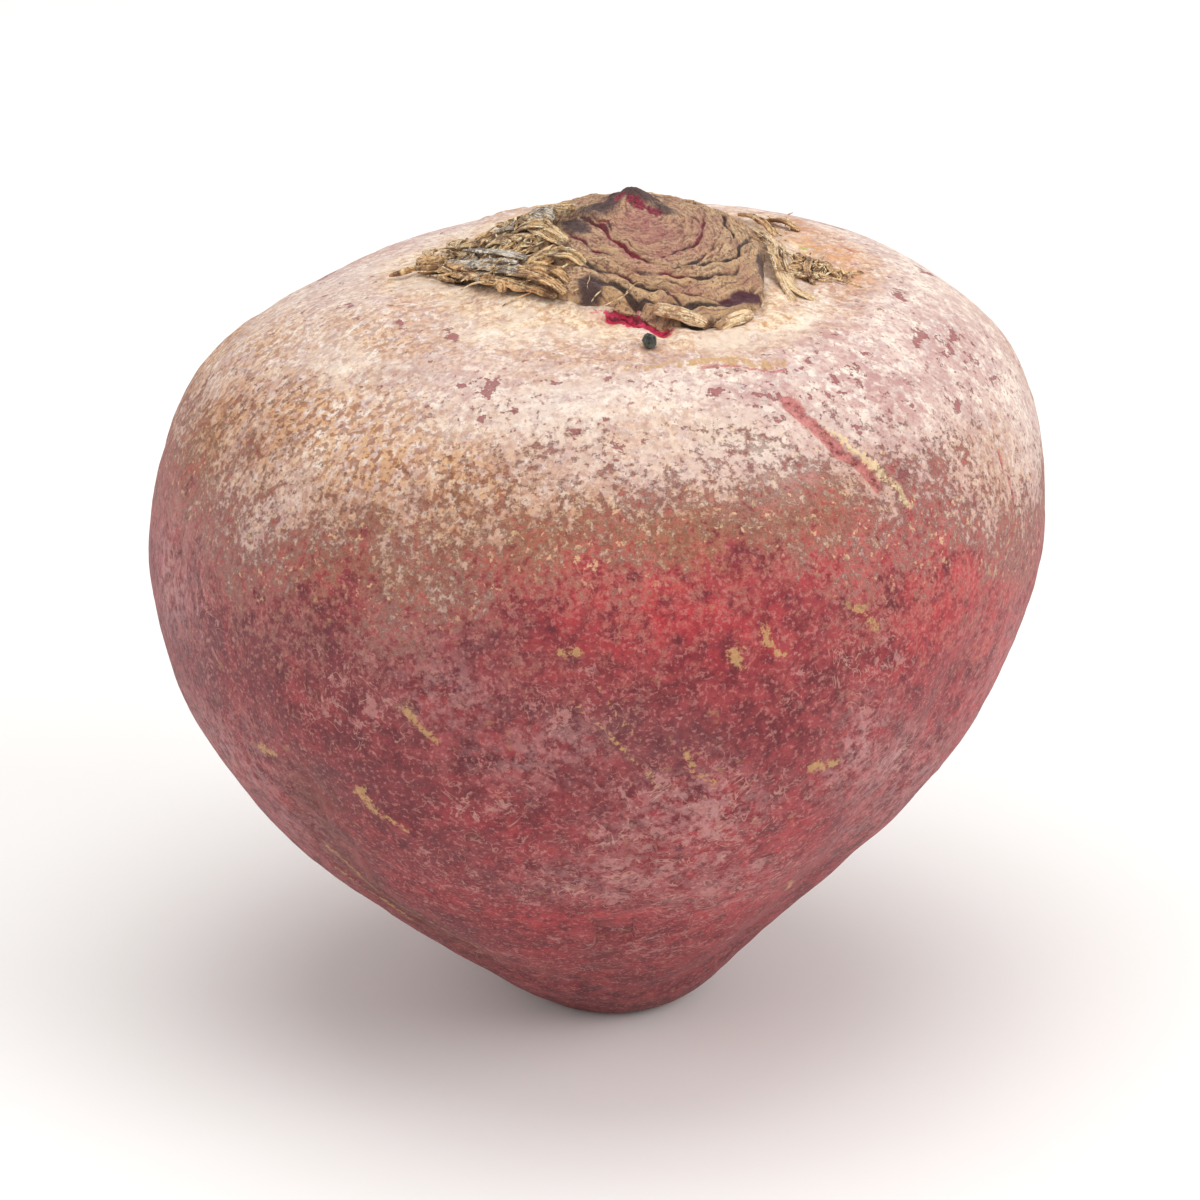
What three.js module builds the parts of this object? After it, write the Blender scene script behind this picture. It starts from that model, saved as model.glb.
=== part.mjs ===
// A whole raw beetroot standing on its blunt tip, with the dried bases of its leaf stalks
// still on the crown. Millimetres, +Z up, +X to the right of the front, -Y the front.
// The origin is the middle of the small flat that the beetroot rests on.
import * as THREE from 'three';
import { mergeVertices } from 'three/addons/utils/BufferGeometryUtils.js';

// ---------------------------------------------------------------- driving dimensions
const HEIGHT = 85.5;            // floor to the top of the crown
const GIRTH_RADIUS = 43.9;      // largest radius of the root
const GIRTH_HEIGHT = 52.5;      // height of that largest radius
const FOOT_RADIUS = 6;          // the flat spot under the tip
const CROWN_RADIUS = 16.5;      // foot of the cone that the leaves grew from
const CROWN_HEIGHT = 77.4;      // height of the cone's foot
const CROWN_CENTRE_X = 1.2;     // the cone stands a little to the right of the foot
const ROOT_SEGMENTS = 64;       // round the root
const ROOT_RINGS = 46;          // from foot to crown
const HUSK_SEGMENTS = 10;       // round a dried stalk base
const HUSK_RINGS = 8;           // along a dried stalk base
const CLEARANCE = 0.35;         // air between the crown and what lies on it

const DEGREE = Math.PI / 180;

// ---------------------------------------------------------------- colours
const FINISHES = {
  skin: { color: 0xa8626a, roughness: 0.85, metalness: 0 },
  dryStalk: { color: 0x9a7a52, roughness: 0.95, metalness: 0 },
  greyStalk: { color: 0x8d8578, roughness: 0.95, metalness: 0 },
  paleStalk: { color: 0xc9ab78, roughness: 0.9, metalness: 0 },
  darkBud: { color: 0x2e2f2a, roughness: 0.9, metalness: 0 },
};

const crownGroup = new THREE.Group();
const beetroot = new THREE.Group();
beetroot.add(crownGroup);

function addPiece(parent, name, geometry, finish) {
  const mesh = new THREE.Mesh(geometry, new THREE.MeshStandardMaterial(FINISHES[finish]));
  mesh.name = name;
  parent.add(mesh);
  return mesh;
}

// ---------------------------------------------------------------- root and crown, one solid
// Radius and height of the outline, from the edge of the foot up to the top of the cone.
const outline = new THREE.SplineCurve([
  new THREE.Vector2(FOOT_RADIUS, 0),
  new THREE.Vector2(8.4, 0.55),
  new THREE.Vector2(12, 3.2),
  new THREE.Vector2(18.9, 9.4),
  new THREE.Vector2(27.2, 17.2),
  new THREE.Vector2(34.7, 25.8),
  new THREE.Vector2(40.4, 34.8),
  new THREE.Vector2(43.3, 44),
  new THREE.Vector2(GIRTH_RADIUS, GIRTH_HEIGHT),
  new THREE.Vector2(42.5, 60.5),
  new THREE.Vector2(38.5, 67.5),
  new THREE.Vector2(32.5, 72.6),
  new THREE.Vector2(26.5, 75.4),
  new THREE.Vector2(20.5, 76.6),
  new THREE.Vector2(CROWN_RADIUS, CROWN_HEIGHT),
  new THREE.Vector2(12, 80.2),
  new THREE.Vector2(6, 83.6),
  new THREE.Vector2(2, 85.3),
  new THREE.Vector2(0, HEIGHT),
]);

// How far the middle of the root leans along X at some heights.
const LEAN = [
  [0, 0], [6, -1.6], [22, -3.4], [38, -2.6], [51, -1.5], [62, -0.6], [70, 0.4],
  [78, CROWN_CENTRE_X], [HEIGHT, CROWN_CENTRE_X],
];

// Shallow dents and swellings: direction, height, depth outwards, spread round and up.
const DENTS = [
  { azimuth: -8 * DEGREE, height: 15, depth: -0.9, around: 18 * DEGREE, up: 6 },
];

// Rises and dips of the shoulder round the crown: direction, rise, spread round.
const SHOULDER = [
  { azimuth: 48 * DEGREE, rise: 0.8, around: 0.6 },
  { azimuth: 112 * DEGREE, rise: 0.3, around: 0.35 },
  { azimuth: 152 * DEGREE, rise: -1.2, around: 0.42 },
];

const smoothstep = THREE.MathUtils.smoothstep;
const bell = (distance, spread) => Math.exp(-((distance / spread) ** 2));

function turnBetween(a, b) {
  return Math.atan2(Math.sin(a - b), Math.cos(a - b));
}

function leanAt(height) {
  for (let i = 1; i < LEAN.length; i += 1) {
    const [low, from] = LEAN[i - 1];
    const [high, to] = LEAN[i];
    if (height <= high) {
      return THREE.MathUtils.mapLinear(height, low, high, from, to);
    }
  }
  return CROWN_CENTRE_X;
}

// The root isn't quite round: low lobes, one dent, and an uneven shoulder.
function grow(radius, height, azimuth) {
  const lobes = smoothstep(height, 4, 40) * (
    0.012 * Math.cos(2 * azimuth)
    + 0.012 * Math.cos(3 * (azimuth - 40 * DEGREE))
    + 0.008 * Math.cos(5 * (azimuth - 15 * DEGREE))
  );
  let reach = radius * (1 + lobes);
  for (const dent of DENTS) {
    const spread = bell(turnBetween(azimuth, dent.azimuth), dent.around);
    reach += dent.depth * spread * bell(height - dent.height, dent.up);
  }
  const shoulder = smoothstep(height, 60, 74) * smoothstep(radius, 14, 24);
  let lift = 0;
  for (const swell of SHOULDER) {
    lift += shoulder * swell.rise * bell(turnBetween(azimuth, swell.azimuth), swell.around);
  }
  return new THREE.Vector3(
    leanAt(height) + reach * Math.cos(azimuth),
    reach * Math.sin(azimuth),
    height + lift,
  );
}

function rootGeometry() {
  const profile = [new THREE.Vector2(0, 0), ...outline.getPoints(ROOT_RINGS)];
  const lathe = new THREE.LatheGeometry(profile, ROOT_SEGMENTS);
  lathe.rotateX(Math.PI / 2);
  lathe.deleteAttribute('normal');
  lathe.deleteAttribute('uv');
  const geometry = mergeVertices(lathe);
  const place = geometry.attributes.position;
  for (let i = 0; i < place.count; i += 1) {
    const radius = Math.hypot(place.getX(i), place.getY(i));
    const height = place.getZ(i);
    if (height > 0) {
      const grown = grow(radius, height, Math.atan2(place.getY(i), place.getX(i)));
      place.setXYZ(i, grown.x, grown.y, grown.z);
    }
  }
  geometry.computeVertexNormals();
  return geometry;
}

const root = addPiece(beetroot, 'root_body', rootGeometry(), 'skin');

// ---------------------------------------------------------------- dried stalk bases
const DOWN = new THREE.Vector3(0, 0, -1);
const ABOVE = HEIGHT + 20;
const probe = new THREE.Raycaster();

// The point of the root straight below a place, and the way the surface faces there.
function surfaceAt(x, y) {
  probe.set(new THREE.Vector3(x, y, ABOVE), DOWN);
  const hit = probe.intersectObject(root)[0];
  return { point: hit.point, normal: hit.face.normal };
}

// A flat tapered body that follows the crown from one place to another. Both ends of the
// path are given as distance from the crown's middle and direction round it.
function stalkGeometry({ start, end, width, thickness, stand = 0 }) {
  const routeAt = (share) => {
    const distance = THREE.MathUtils.lerp(start[0], end[0], share);
    const azimuth = THREE.MathUtils.lerp(start[1], end[1], share) * DEGREE;
    const x = CROWN_CENTRE_X + distance * Math.cos(azimuth);
    const y = distance * Math.sin(azimuth);
    const { point, normal } = surfaceAt(x, y);
    return point.addScaledVector(normal, thickness / 2 + CLEARANCE + stand);
  };
  const ball = new THREE.SphereGeometry(1, HUSK_SEGMENTS, HUSK_RINGS);
  ball.deleteAttribute('normal');
  ball.deleteAttribute('uv');
  const geometry = mergeVertices(ball);
  const place = geometry.attributes.position;
  for (let i = 0; i < place.count; i += 1) {
    const share = 0.5 + Math.asin(THREE.MathUtils.clamp(place.getY(i), -1, 1)) / Math.PI;
    const middle = routeAt(share);
    const ahead = routeAt(Math.min(share + 0.05, 1));
    const behind = routeAt(Math.max(share - 0.05, 0));
    const along = ahead.sub(behind).normalize();
    const out = surfaceAt(middle.x, middle.y).normal.clone();
    out.addScaledVector(along, -out.dot(along)).normalize();
    const across = new THREE.Vector3().crossVectors(out, along);
    middle.addScaledVector(across, place.getX(i) * width / 2);
    middle.addScaledVector(out, -place.getZ(i) * thickness / 2);
    place.setXYZ(i, middle.x, middle.y, middle.z);
  }
  geometry.computeVertexNormals();
  return geometry;
}

// Distance from the crown's middle, direction round it in degrees, width across, thickness,
// and how far the piece stands up from the crown beyond the clearance.
const STALKS = [
  { name: 'left_husk_outer', start: [17.6, 206], end: [19.4, 172],
    width: 3.4, thickness: 1.2, stand: 0.5, finish: 'dryStalk' },
  { name: 'left_husk_fibrous', start: [12.6, 232], end: [15.2, 184],
    width: 3.2, thickness: 1.2, stand: 0.7, finish: 'greyStalk' },
  { name: 'left_husk_inner', start: [9, 226], end: [11, 174],
    width: 2.6, thickness: 1.1, stand: 0.6, finish: 'dryStalk' },
  { name: 'left_husk_papery', start: [12.4, 166], end: [9.6, 128],
    width: 3.6, thickness: 0.9, stand: 0.5, finish: 'greyStalk' },
  { name: 'left_husk_back', start: [17.2, 160], end: [15.6, 118],
    width: 3.4, thickness: 1.1, stand: 0.5, finish: 'dryStalk' },
  { name: 'left_stub', start: [22, 178], end: [24.6, 170],
    width: 2, thickness: 1.7, stand: 0, finish: 'darkBud' },
  { name: 'right_strap', start: [15.2, 34], end: [18.4, -28],
    width: 3.2, thickness: 1.1, stand: 0.5, finish: 'paleStalk' },
  { name: 'right_tuft', start: [19.4, 46], end: [21.6, 2],
    width: 2.8, thickness: 1.4, stand: 0.3, finish: 'dryStalk' },
  { name: 'front_lip_left', start: [15.6, -104], end: [15.8, -68],
    width: 2.2, thickness: 1.3, stand: 0.5, finish: 'paleStalk' },
  { name: 'front_lip_right', start: [16.6, -63], end: [17.6, -42],
    width: 2.6, thickness: 1.4, stand: 0.6, finish: 'paleStalk' },
  { name: 'front_bud', start: [20, -86], end: [20.8, -82.5],
    width: 1.5, thickness: 1.5, stand: 0, finish: 'darkBud' },
];

for (const stalk of STALKS) {
  addPiece(crownGroup, stalk.name, stalkGeometry(stalk), stalk.finish);
}

export default beetroot;
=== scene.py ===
import bpy
import numpy as np
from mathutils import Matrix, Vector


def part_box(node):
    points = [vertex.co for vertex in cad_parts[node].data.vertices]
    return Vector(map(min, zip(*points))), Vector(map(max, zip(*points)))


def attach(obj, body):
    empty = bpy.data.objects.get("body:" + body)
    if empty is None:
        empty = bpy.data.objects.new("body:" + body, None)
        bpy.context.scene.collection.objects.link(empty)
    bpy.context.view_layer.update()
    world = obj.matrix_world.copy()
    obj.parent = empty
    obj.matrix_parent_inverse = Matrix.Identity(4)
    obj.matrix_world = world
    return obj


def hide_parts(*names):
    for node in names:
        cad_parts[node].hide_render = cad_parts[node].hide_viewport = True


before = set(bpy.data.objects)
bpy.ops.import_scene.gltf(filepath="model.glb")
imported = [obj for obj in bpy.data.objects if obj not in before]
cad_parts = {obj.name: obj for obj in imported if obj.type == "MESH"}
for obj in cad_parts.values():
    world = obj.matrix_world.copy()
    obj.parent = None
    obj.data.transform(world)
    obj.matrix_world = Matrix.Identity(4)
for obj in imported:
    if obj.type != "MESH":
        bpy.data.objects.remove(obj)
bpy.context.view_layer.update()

MM = 0.001
root_low, root_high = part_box("root_body")
HEIGHT = (root_high.z - root_low.z) / MM
CROWN_X = 1.2                    # the cone of the crown stands this far right of the foot
SKIN_COLUMNS = 420               # round the root
CROWDING = 20                    # degrees that its columns crowd towards the front
SKIN_RINGS = 232                 # from the foot to the crown
CROWN_COLUMNS = 500              # round the crown
CROWN_RINGS = 190                # from the crown's edge to its peak

# ------------------------------------------------------------------ arithmetic on arrays


def smoothstep(low, high, value):
    """0 below low, 1 above high, and an S-shaped blend between them."""
    share = np.clip((value - low) / (high - low), 0, 1)
    return share * share * (3 - 2 * share)


def bell(distance, spread):
    """1 at no distance, falling off as the exponential of minus the square."""
    return np.exp(-((distance / spread) ** 2))


def turn_between(a, b):
    """The smallest turn from b to a, in degrees."""
    return (a - b + 180) % 360 - 180


def along_points(points, share):
    """A smooth curve through the points: on each span, the cubic whose slopes at its two
    ends are half the step between the neighbours on either side. share runs from 0 to 1."""
    points = np.asarray(points, float)
    last = len(points) - 1
    place = np.clip(share, 0, 1) * last
    span = np.minimum(place.astype(int), last - 1)
    part = (place - span)[:, None]
    before = points[np.maximum(span - 1, 0)]
    start, end = points[span], points[span + 1]
    after = points[np.minimum(span + 2, last)]
    slope_in, slope_out = (end - before) / 2, (after - start) / 2
    return (
        (2 * start - 2 * end + slope_in + slope_out) * part**3
        + (3 * end - 3 * start - 2 * slope_in - slope_out) * part**2
        + slope_in * part
        + start
    )


LATTICE_SIZE = 64
LATTICE = np.random.default_rng(11).random((LATTICE_SIZE,) * 3)


def lumps(points, size, seed=0):
    """Smooth random numbers from -1 to 1 with lumps of about that size: the random values
    at the eight corners of each cubic cell, blended by S-shaped shares."""
    place = points / size + seed * 7.313
    cell = np.floor(place).astype(int)
    part = place - cell
    part = part * part * (3 - 2 * part)
    total = np.zeros(points.shape[:-1])
    for corner in np.ndindex(2, 2, 2):
        weight = np.ones(points.shape[:-1])
        for axis in range(3):
            weight = weight * (part[..., axis] if corner[axis] else 1 - part[..., axis])
        index = (cell + np.array(corner)) % LATTICE_SIZE
        total += weight * LATTICE[index[..., 0], index[..., 1], index[..., 2]]
    return total * 2 - 1


def rough(points, size, octaves=3, seed=0):
    """Lumps with ever finer lumps on them, each octave half the size and half the height."""
    return sum(lumps(points, size / 2**i, seed + i) / 2**i for i in range(octaves))


# ------------------------------------------------------------------ mesh making


def add_object(name, points, faces, values=None, uv=None, material=None, node=None):
    """A piece of the beetroot from points in millimetres and quads or triangles. values are
    numbers kept at the points, and uv is a pair of numbers at each point."""
    mesh = bpy.data.meshes.new(name)
    quads, triangles = faces
    loops = np.concatenate([quads.ravel(), triangles.ravel()])
    counts = np.concatenate([np.full(len(quads), 4), np.full(len(triangles), 3)])
    mesh.vertices.add(len(points))
    mesh.vertices.foreach_set("co", (points * MM).astype(np.float32).ravel())
    mesh.loops.add(len(loops))
    mesh.loops.foreach_set("vertex_index", loops.astype(np.int32))
    mesh.polygons.add(len(counts))
    starts = np.concatenate([[0], np.cumsum(counts)[:-1]])
    mesh.polygons.foreach_set("loop_start", starts.astype(np.int32))
    mesh.polygons.foreach_set("use_smooth", np.ones(len(counts), bool))
    mesh.update(calc_edges=True)
    for key, numbers in (values or {}).items():
        layer = mesh.attributes.new(key, "FLOAT", "POINT")
        layer.data.foreach_set("value", numbers.astype(np.float32).ravel())
    if uv is not None:
        layer = mesh.uv_layers.new(name="along")
        layer.data.foreach_set("uv", uv[loops].astype(np.float32).ravel())
    mesh.materials.append(material)
    piece = bpy.data.objects.new(name, mesh)
    bpy.context.scene.collection.objects.link(piece)
    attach(piece, "root")
    if node:
        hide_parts(*([node] if isinstance(node, str) else node))
    return piece


def tube_faces(rings, around, first=0):
    """Quads between the rings of a tube and a fan of triangles on each end. The two middle
    points of the ends follow the rings' own points. first is the tube's first point."""
    ring, column = np.meshgrid(np.arange(rings - 1), np.arange(around), indexing="ij")
    after = (column + 1) % around
    quads = np.stack(
        [ring * around + column, ring * around + after,
         (ring + 1) * around + after, (ring + 1) * around + column], -1,
    ).reshape(-1, 4)
    column = np.arange(around)
    after = (column + 1) % around
    low = np.stack([np.full(around, rings * around), after, column], -1)
    top = (rings - 1) * around
    high = np.stack([np.full(around, rings * around + 1), top + column, top + after], -1)
    return quads + first, np.concatenate([low, high]) + first


def with_ends(rings):
    """The points of a tube, followed by the middle of its first and of its last ring."""
    points = rings.reshape(-1, rings.shape[-1])
    return np.concatenate([points, rings[:1].mean(1), rings[-1:].mean(1)])


def volume(points, faces):
    """Signed volume inside the faces: a sixth of the triple product of each triangle."""
    quads, triangles = faces
    split = np.concatenate([quads[:, :3], quads[:, [0, 2, 3]], triangles])
    a, b, c = (points[split[:, i]] for i in range(3))
    return np.einsum("ij,ij->i", a, np.cross(b, c)).sum() / 6


def facing_out(points, faces):
    """The faces, turned round where they enclose a negative volume."""
    if volume(points, faces) < 0:
        return tuple(f[:, ::-1] for f in faces)
    return faces


def join_tubes(tubes):
    """One set of points and faces from several tubes, each an array of rings. The last
    numbers of each point after its place are kept with it."""
    points, quads, triangles, first = [], [], [], 0
    for rings in tubes:
        own = with_ends(rings)
        faces = facing_out(own[:, :3], tube_faces(rings.shape[0], rings.shape[1]))
        points.append(own)
        quads.append(faces[0] + first)
        triangles.append(faces[1] + first)
        first += len(own)
    return np.concatenate(points), (np.concatenate(quads), np.concatenate(triangles))


# ------------------------------------------------------------------ shape of the root
# Radius and height of the outline from the edge of the foot to the top of the crown.
OUTLINE = [
    (6, 0), (8.4, 0.55), (12, 3.2), (18.9, 9.4), (27.2, 17.2), (34.7, 25.8), (40.4, 34.8),
    (43.3, 44), (43.9, 52.5), (42.5, 60.5), (38.5, 67.5), (32.5, 72.6), (26.5, 75.4),
    (20.5, 76.6), (16.5, 77.4), (12, 80.2), (6, 83.6), (2, 85.3), (0, HEIGHT),
]
FOOT_RADIUS = OUTLINE[0][0]
OUTLINE_STEPS = 4000
CURVE = np.concatenate(
    [[(0, 0)], along_points(OUTLINE, np.linspace(0, 1, OUTLINE_STEPS))]
)
# Distance along the outline from the middle of the foot: places on the skin are given as
# the direction round the root, in degrees, and this distance up the skin.
CURVE_UP = np.concatenate([[0], np.cumsum(np.hypot(*np.diff(CURVE, axis=0).T))])
TOP_UP = CURVE_UP[-1]
# How far the middle of the root leans along X at some heights.
LEAN = np.array([
    (0, 0), (6, -1.6), (22, -3.4), (38, -2.6), (51, -1.5), (62, -0.6), (70, 0.4),
    (78, CROWN_X), (90, CROWN_X),
])
# A shallow dent low on the right: direction and height, depth, spread round and up.
DENT_AT, DENT_HEIGHT, DENT_DEPTH, DENT_WIDE, DENT_TALL = -8, 15, 0.9, 18, 6
LOBES = [(2, 0, 0.012), (3, 40, 0.012), (5, 15, 0.008)]      # count, direction, share
SHOULDER = [(48, 0.8, 34), (112, 0.3, 20), (152, -1.2, 24)]  # direction, rise, spread


def grow(radius, height, azimuth):
    """A place on the root from the outline's radius and height and a direction round it:
    the circle of that radius with low cosine lobes and one dent, moved along X by the
    lean, and the shoulder raised or lowered by bells round the crown."""
    turn = np.radians(azimuth)
    body = smoothstep(4, 40, height)
    lobes = sum(
        share * np.cos(count * (turn - np.radians(at))) for count, at, share in LOBES
    )
    dent = bell(turn_between(azimuth, DENT_AT), DENT_WIDE) * bell(height - DENT_HEIGHT, DENT_TALL)
    reach = radius * (1 + body * lobes) - DENT_DEPTH * dent
    shoulder = smoothstep(60, 74, height) * smoothstep(14, 24, radius)
    lift = sum(rise * bell(turn_between(azimuth, at), wide) for at, rise, wide in SHOULDER)
    x = np.interp(height, LEAN[:, 0], LEAN[:, 1]) + reach * np.cos(turn)
    return np.stack([x, reach * np.sin(turn), height + shoulder * lift], -1)


def skin_place(azimuth, up):
    """The smooth root's point at a direction round it and a distance up its skin."""
    radius = np.interp(up, CURVE_UP, CURVE[:, 0])
    height = np.interp(up, CURVE_UP, CURVE[:, 1])
    return grow(radius, height, azimuth)


def crown_level(x, y):
    """Height of the smooth root under a place near the crown, from the outline's radius."""
    upper = CURVE[np.argmax(CURVE[:, 0]):][::-1]
    distance = np.hypot(x - CROWN_X, y)
    azimuth = np.degrees(np.arctan2(y, x - CROWN_X))
    height = np.interp(distance, upper[:, 0], upper[:, 1])
    shoulder = smoothstep(60, 74, height) * smoothstep(14, 24, distance)
    lift = sum(rise * bell(turn_between(azimuth, at), wide) for at, rise, wide in SHOULDER)
    return height + shoulder * lift


def normals_of(grid):
    """Unit normals of a grid that closes round its columns, from the cross product of its
    two directions, pointing out where rows go up and columns go anticlockwise."""
    around = np.roll(grid, -1, 1) - np.roll(grid, 1, 1)
    up = np.gradient(grid, axis=0)
    normal = np.cross(around, up)
    return normal / np.maximum(np.linalg.norm(normal, axis=-1, keepdims=True), 1e-9)


# ------------------------------------------------------------------ marks on the skin


class Surface:
    """Points of a grid with two flat coordinates on them, so that marks can be laid on it.
    away(a, b, ragged) gives the millimetres from a place to every point."""

    def patch(self, a, b, wide, high, turn=0, ragged=0.5):
        """A soft oval patch: a bell of the distance, stretched and turned."""
        across, along = self.away(a, b, ragged)
        c, s = np.cos(np.radians(turn)), np.sin(np.radians(turn))
        return np.exp(
            -(((across * c + along * s) / wide) ** 2)
            - (((along * c - across * s) / high) ** 2)
        )

    def patches(self, rows, ragged=0.5):
        """The strongest of several patches, each a strength and a patch's numbers."""
        return np.max([row[0] * self.patch(*row[1:], ragged=ragged) for row in rows], 0)

    def nearest(self, route, ragged):
        """Distance to a route, how far along it the nearest point is, from 0 to 1, and the
        side: 1 on the left of the route and -1 on the right."""
        best = np.full(self.shape, 1e9)
        share_there, side_there = np.zeros(self.shape), np.zeros(self.shape)
        spans = len(route) - 1
        for i in range(spans):
            ax, ay = self.away(*route[i], ragged)
            bx, by = self.away(*route[i + 1], ragged)
            dx, dy = ax - bx, ay - by
            share = np.clip((ax * dx + ay * dy) / np.maximum(dx**2 + dy**2, 1e-9), 0, 1)
            distance = np.hypot(ax - share * dx, ay - share * dy)
            nearer = distance < best
            best = np.where(nearer, distance, best)
            share_there = np.where(nearer, (i + share) / spans, share_there)
            side_there = np.where(nearer, np.sign(dx * ay - dy * ax), side_there)
        return best, share_there, side_there

    def stroke(self, route, width, ragged=0.15):
        """A soft line along a route: a bell of the distance. width is one number, or its
        value at both ends of the route."""
        distance, share, _ = self.nearest(route, ragged)
        if isinstance(width, tuple):
            width = width[0] + (width[1] - width[0]) * share
        return bell(distance, width)


class Skin(Surface):
    """The grid of the skin: direction round the root, and distance up the skin."""

    def __init__(self, azimuth, up):
        self.azimuth, self.up, self.shape = azimuth, up, up.shape
        self.radius = np.maximum(np.interp(up, CURVE_UP, CURVE[:, 0]), 0.5)
        self.place = skin_place(azimuth, up)
        self.warp = 1.6 * rough(self.place, 6, 3, 3), 1.6 * rough(self.place, 6, 3, 5)

    def away(self, azimuth, up, ragged):
        across = np.radians(turn_between(self.azimuth, azimuth)) * self.radius
        return across + ragged * self.warp[0], self.up - up + ragged * self.warp[1]


class Crown(Surface):
    """The grid of the crown, seen from above: X and Y."""

    def __init__(self, x, y):
        self.x, self.y, self.shape = x, y, x.shape
        flat = np.stack([x, y, 0 * x], -1)
        self.place = flat
        self.warp = 0.5 * rough(flat, 2.2, 3, 61), 0.5 * rough(flat, 2.2, 3, 63)

    def away(self, x, y, ragged):
        return self.x - x + ragged * self.warp[0], self.y - y + ragged * self.warp[1]


# Directions round the root are in degrees: -90 is the front, 0 the right, 90 the back.
# Where the dusty layer gives way to the bare skin, as distance up the skin.
DUST_EDGE = [
    (-180, 82), (-165, 84), (-150, 83), (-140, 80), (-128, 83), (-115, 84), (-102, 86),
    (-90, 87), (-78, 88.5), (-68, 88), (-56, 86), (-44, 84.5), (-32, 81), (-18, 78), (0, 77),
    (25, 80), (50, 85), (80, 81), (110, 84), (140, 79), (165, 81), (180, 82),
]
# Every patch: strength, direction, distance up, half width, half height, turn.
OCHRE = [
    (1, -163, 88, 9, 7, 0), (1, -146, 93, 12, 8, 10), (1, -128, 92, 11, 8, -8),
    (0.95, -112, 91, 10, 7, 0), (0.7, -150, 104, 14, 5, 8), (0.8, -98, 88, 10, 5, 0),
    (0.85, -80, 87, 11, 4, 0), (0.7, -64, 88, 7, 4, 0), (0.6, -122, 82, 12, 4, 0),
    (0.7, -172, 96, 8, 7, 0), (0.5, -25, 86, 7, 6, 0), (0.5, -86, 97, 10, 4, 0),
    (0.4, -108, 104, 8, 3, 0), (0.9, 168, 88, 12, 8, 0), (0.6, 130, 94, 12, 6, 20),
    (0.7, 60, 92, 14, 6, -10), (0.55, 15, 90, 8, 6, 0), (0.6, 95, 86, 12, 5, 0),
]
CRIMSON = [
    (1, -85, 80, 11, 5, 0), (0.9, -93, 84, 8, 3, 0), (0.7, -74, 77, 7, 5, 0),
    (1, -40, 76, 12, 8, -10), (0.9, -55, 84, 9, 4, 0), (0.8, -28, 70, 9, 6, -30),
    (0.75, -98, 40, 5, 6, 60), (0.7, -82, 40, 8, 3, 0), (0.6, -60, 40, 9, 9, 0),
    (0.8, -30, 84, 12, 7, 0), (0.7, -20, 62, 10, 10, 0),
    (0.55, -70, 52, 12, 6, 0), (0.5, -104, 29, 8, 5, 0), (0.5, -112, 45, 6, 6, 0),
    (0.6, -66, 28, 10, 5, 0), (0.45, -100, 56, 9, 5, 0), (0.8, 10, 68, 14, 9, 0),
    (0.7, 60, 74, 16, 7, 0), (0.6, 90, 50, 14, 9, 30), (0.7, 140, 70, 16, 6, 0),
    (0.5, 120, 34, 10, 8, 0), (0.5, 25, 40, 10, 9, 0),
]
# Plum-coloured patches of the skin; the three low on the front and front left, at distance up 30 to 50,
# are painted shade that darkens that side.
PLUM_AND_PAINTED_SHADE = [
    (1, -132, 70, 14, 10, 0), (0.8, -152, 66, 12, 10, 0), (0.8, -84, 67, 10, 4.5, -18),
    (0.7, -118, 60, 12, 8, 0), (0.6, -128, 40, 8, 9, 0), (0.7, -104, 74, 8, 5, 0),
    (0.6, -92, 60, 10, 6, 0), (0.8, 175, 62, 16, 12, 0), (0.7, 110, 62, 16, 9, 0),
    (0.6, 35, 56, 12, 9, 0), (0.5, 70, 36, 10, 8, 0),
    (0.9, -42, 98, 9, 7, 0), (0.8, -14, 97, 13, 8, 0), (0.7, -64, 102, 6, 3, 0),
    (0.8, -42, 105, 10, 4, 0), (0.6, -60, 96, 6, 5, 0), (0.7, -104, 50, 14, 8, 0),
    (0.7, -118, 34, 10, 8, 0), (0.6, -90, 30, 12, 6, 0),
    (0.5, -120, 103, 6, 3, 0), (0.6, 60, 100, 16, 6, 0), (0.6, 130, 100, 14, 6, 0),
]
VEIL = [
    (0.9, -164, 72, 9, 7, 0), (0.75, -150, 56, 12, 7, 0), (1, -53, 64, 4.5, 4.5, 30),
    (0.8, -46, 58, 7, 5, 0), (0.7, -110, 72, 5, 4, 0), (0.75, -76, 58, 9, 5, 0),
    (0.6, -35, 52, 9, 9, 0), (0.55, -84, 49, 12, 5, 0), (0.6, -140, 47, 8, 6, 0),
    (0.5, -68, 45, 9, 5, 0), (0.6, -96, 66, 8, 4, 0), (0.5, -20, 62, 9, 9, 0),
    (0.7, 150, 58, 12, 10, 0), (0.6, 85, 66, 10, 7, 0), (0.6, 40, 66, 9, 8, 0),
    (0.5, 5, 52, 10, 9, 0),
]
SCUFFED = [
    (1, -76, 56, 14, 9, 0), (1, -84, 47, 13, 6, 0), (0.8, -122, 68, 9, 7, 0),
    (0.9, -66, 44, 12, 7, 0), (0.7, -104, 58, 8, 8, 0), (0.8, -56, 72, 9, 6, 0),
    (0.7, -92, 70, 8, 6, 0), (0.6, -110, 46, 9, 9, 0), (0.6, -74, 32, 16, 7, 0),
    (0.7, -112, 26, 12, 6, 0), (0.6, -44, 58, 9, 9, 0), (0.6, -150, 72, 9, 9, 0),
    (0.7, 160, 60, 14, 9, 0), (0.8, 110, 52, 16, 10, 0), (0.7, 50, 50, 15, 12, 0),
    (0.6, 10, 40, 12, 12, 0),
]
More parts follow.
